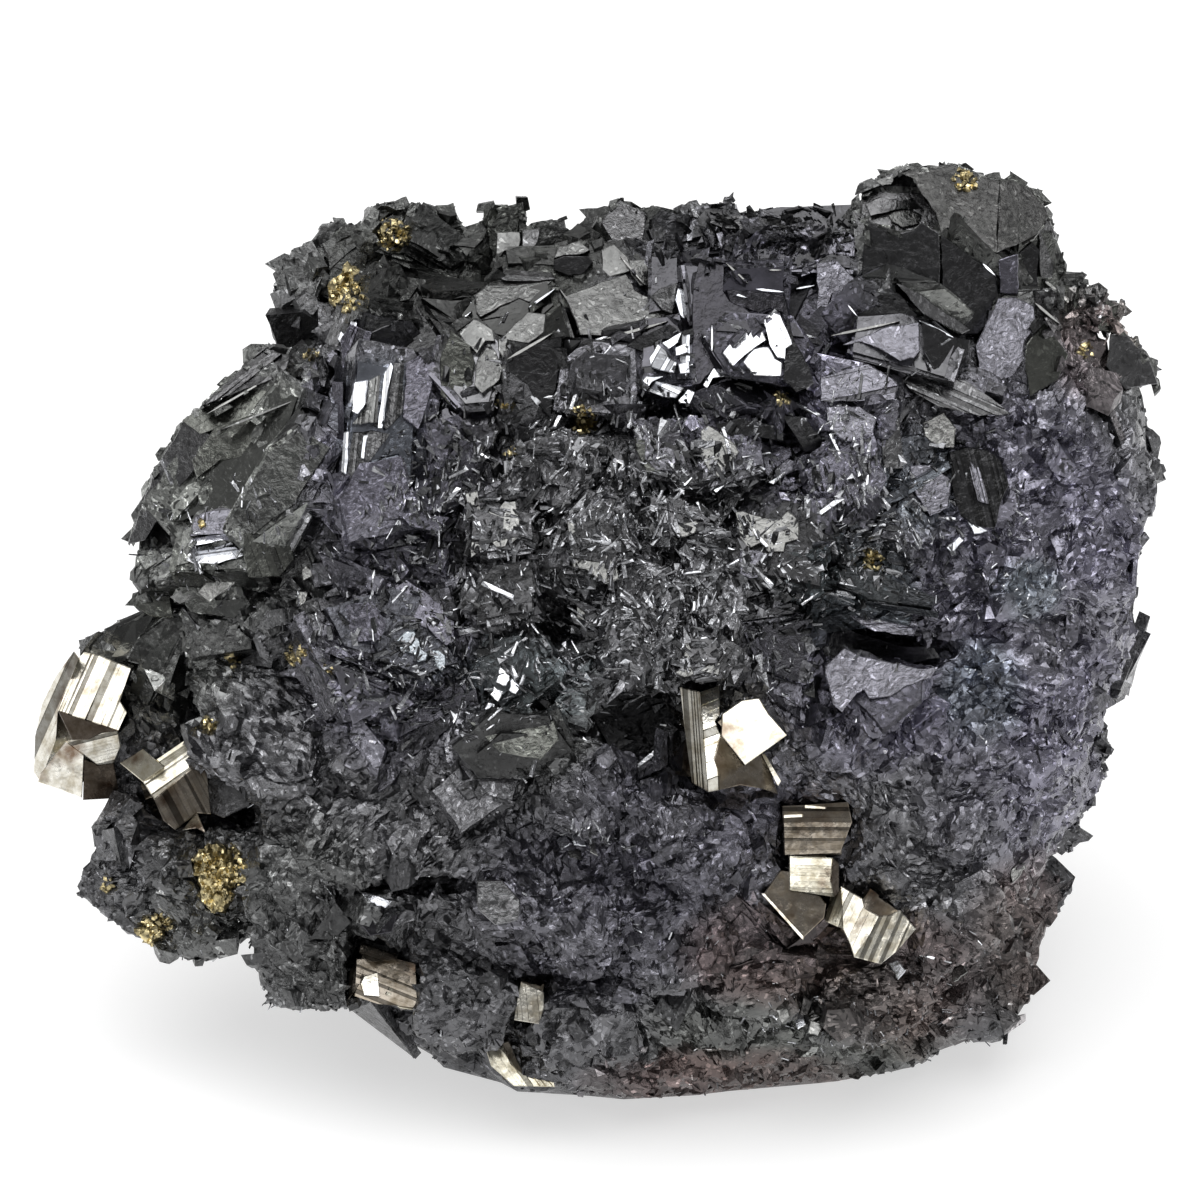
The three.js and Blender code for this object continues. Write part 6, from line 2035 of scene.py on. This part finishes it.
grow("druse_back_small", ground, 3000, back, width=(0.3, 0.9), flatness=(0.5, 1.2),
     jitter=0.4, wild=0.45, sunk=(0.35, 0.7))

# The ways from which the back and the sides are looked at.
BEHIND = unit(np.array([[0, 1, 0.2], [0, 0.5, 0.85], [0.6, 0.8, 0.1], [-0.6, 0.8, 0.1]]))


def open_towards(ground, tree, ways):
    """Which triangles face one of the ways with nothing before them."""
    starts = ground.middle + 0.05 * ground.normal
    facing = ground.normal @ ways.T > 0.1
    clear = [[tree.ray_cast(Vector(start), Vector(way))[0] is None for way in ways] for start in starts]
    return (np.array(clear) & facing).any(axis=1)


# Small crystals on the sides and backs of the listed crystals, where they show from behind.
backs_facets = Facets(*MADE["crystal_faces"])
backs = Ground(*MADE["crystal_faces"], backs_facets, backs_facets.number)
bare_backs = open_towards(backs, tree_of([MADE["blende_mass"], MADE["crystal_faces"]]), BEHIND)
bare_backs &= backs.normal @ OUT < 0.25
grow("druse_crest", backs, 1100, 1.0 * bare_backs, width=(0.4, 1.5), flatness=(0.4, 0.8),
     jitter=0.25, wild=0.15, sunk=(0.75, 0.98), spared=False)

# ---------------------------------------------------------------- pyrite and chalcopyrite

CORE_SHARE = 0.72  # a pyrite crystal's core, hidden by its faces, as a share of its solid
CORE_SUNK = 2.2  # and how far behind them it lies
CORE_EDGE, CORE_ROUGH = 0.8, 0.03  # its longest edge and the height of its relief
PATCH_EDGE, PATCH_ROUGH = 0.3, 0.35  # and those of a patch of chalcopyrite


def roughened(points, triangles, longest, height):
    """A mesh with no edge over the longest, its surface broken into small flat pieces."""
    points, triangles, _ = refined(points, triangles, lambda places: np.full(len(places), longest))
    lift = height * relief(points, HACKLY)
    return points + vertex_normals(points, triangles) * lift[:, None], triangles


def make_pyrite(node):
    """A crystal's faces over a smaller, darker core of the same shape."""
    points, triangles = ORE[node]
    middle = points.mean(axis=0)
    points = middle + (points - middle) * CORE_SHARE - OUT * CORE_SUNK
    points, triangles = roughened(points, triangles, CORE_EDGE, CORE_ROUGH)
    solids = Solids()
    # the core takes the bronze copy, painted shade where it shows between the faces
    solids.add(points, triangles, np.repeat([[*PYRITE_PAINTED_LIGHT_AND_SHADE["bronze"][0], 1.0]], len(points), axis=0))
    for crystal in PYRITE_CRYSTALS[node]:
        crystal_solids(solids, crystal, SIGHTS, PYRITE_PAINTED_LIGHT_AND_SHADE)
    piece = solids.piece(node + "_crystals", PYRITE, "pyrite")
    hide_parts(node)


def make_chalcopyrite(node):
    """A rounded, hackly patch."""
    points, triangles = roughened(*ORE[node], PATCH_EDGE, PATCH_ROUGH)
    shade = 0.35 + 1.1 * hashed(np.floor(points / 0.45).astype(np.int64), 77)[:, None]
    piece = add_piece(node + "_patch", points, triangles, CHALCOPYRITE, shade * np.ones(3))
    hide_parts(node)


GRAINS_PER_MM2 = 9
GRAIN_SIZE = (0.12, 0.42)  # half width
GRAIN_UNEVEN = (0.7, 1.3)  # by which each side of a grain differs from it
GRAIN_LIGHT = (0.3, 1.4)
GRAIN_LEAN = 0.5


def make_gold_grains():
    """Loose grains of chalcopyrite heaped on the crust at each spot."""
    solids = Solids()
    seen = tree_of([MADE[name] for name in CRUST] + list(ORE.values()))
    for across, up, radius in GOLD_SPOTS:
        count = round(GRAINS_PER_MM2 * math.pi * radius**2)
        away = radius * np.sqrt(draws.random(count))
        turn = draws.uniform(0, 2 * math.pi, count)
        spots = [sight(seen, across + r * math.cos(t), up + r * math.sin(t)) for r, t in zip(away, turn)]
        places = np.array([spot for spot in spots if spot is not None])
        count = len(places)
        lean = unit(OUT + draws.normal(size=(count, 3)) * GRAIN_LEAN)
        along = unit(np.cross(lean, draws.normal(size=(count, 3))))
        frames = np.stack([along, np.cross(lean, along), lean], axis=1)
        sizes = draws.uniform(*GRAIN_SIZE, (count, 1)) * draws.uniform(*GRAIN_UNEVEN, (count, 3))
        shade = draws.uniform(*GRAIN_LIGHT, (count, 1)) * np.ones(3)
        kinds = draws.integers(0, TEMPLATES, count)
        solids.add_shapes(kinds, places, frames, sizes, shade)
    solids.piece("chalcopyrite_grains", CHALCOPYRITE, "chalcopyrite")


for node in ORE:
    if node.startswith("pyrite"):
        make_pyrite(node)
    if node.startswith("chalcopyrite"):
        make_chalcopyrite(node)
make_gold_grains()

# ---------------------------------------------------------------- floor, light and camera

FLOOR_HALF = 4.0  # metres
FLOOR_GLOW = 0.58
SUN_STRENGTH, SUN_WIDTH = 2.7, 68  # the key light's strength, and its width in degrees
SUN_TOWARDS = (-0.12, -0.18, 1.0)
# The sky from low to high: how high it starts and ends to change, and its grey there.
SKY = ((0.15, 0.28), (0.85, 0.6))


def floor_material():
    """Pale, and bright enough by itself to show as white."""
    material = bpy.data.materials.new("pale_floor")
    material.use_nodes = True
    shader = material.node_tree.nodes["Principled BSDF"]
    shader.inputs["Base Color"].default_value = (0.5, 0.5, 0.5, 1)
    shader.inputs["Emission Color"].default_value = (1, 1, 1, 1)
    shader.inputs["Emission Strength"].default_value = FLOOR_GLOW
    shader.inputs["Roughness"].default_value = 0.9
    shader.inputs["Specular IOR Level"].default_value = 0.1
    return material


def make_floor():
    """A wide pale floor that the stone stands on."""
    data = bpy.data.meshes.new("floor")
    corners = [(FLOOR_HALF * x, FLOOR_HALF * y, 0) for x, y in ((-1, -1), (1, -1), (1, 1), (-1, 1))]
    data.from_pydata(corners, [], [(0, 1, 2, 3)])
    data.materials.append(floor_material())
    floor = bpy.data.objects.new("floor", data)
    bpy.context.scene.collection.objects.link(floor)


def make_light():
    """A grey sky and one wide sun, from above and a little before the stone."""
    scene = bpy.context.scene
    world = bpy.data.worlds.new("studio")
    scene.world = world
    world.use_nodes = True
    tree = world.node_tree
    background = tree.nodes["Background"]
    place = tree.nodes.new("ShaderNodeTexCoord")
    parts = tree.nodes.new("ShaderNodeSeparateXYZ")
    ramp = tree.nodes.new("ShaderNodeValToRGB")
    tree.links.new(place.outputs["Generated"], parts.inputs["Vector"])
    tree.links.new(parts.outputs["Z"], ramp.inputs["Fac"])
    tree.links.new(ramp.outputs["Color"], background.inputs["Color"])
    for element, (at, grey) in zip(ramp.color_ramp.elements, SKY):
        element.position = at
        element.color = (grey, grey, grey, 1)
    background.inputs["Strength"].default_value = 1.0
    key = bpy.data.lights.new("key", "SUN")
    key.energy = SUN_STRENGTH
    key.angle = math.radians(SUN_WIDTH)
    lamp = bpy.data.objects.new("key", key)
    scene.collection.objects.link(lamp)
    towards = Vector(SUN_TOWARDS).normalized()
    lamp.rotation_mode = "QUATERNION"
    lamp.rotation_quaternion = towards.to_track_quat("Z", "Y")
    scene.view_settings.view_transform = "Standard"


def make_camera():
    """A camera straight before the display face."""
    scene = bpy.context.scene
    data = bpy.data.cameras.new("camera")
    camera = bpy.data.objects.new("camera", data)
    scene.collection.objects.link(camera)
    data.sensor_width = 36
    data.lens = data.sensor_width * EYE_DISTANCE / VIEW_WIDTH
    data.clip_start = 0.01
    data.clip_end = 50
    camera.location = Vector((FACE_MIDDLE + EYE_DISTANCE * OUT) * MM)
    camera.rotation_mode = "QUATERNION"
    camera.rotation_quaternion = Vector(OUT).to_track_quat("Z", "Y")
    scene.camera = camera


make_floor()
make_light()
make_camera()
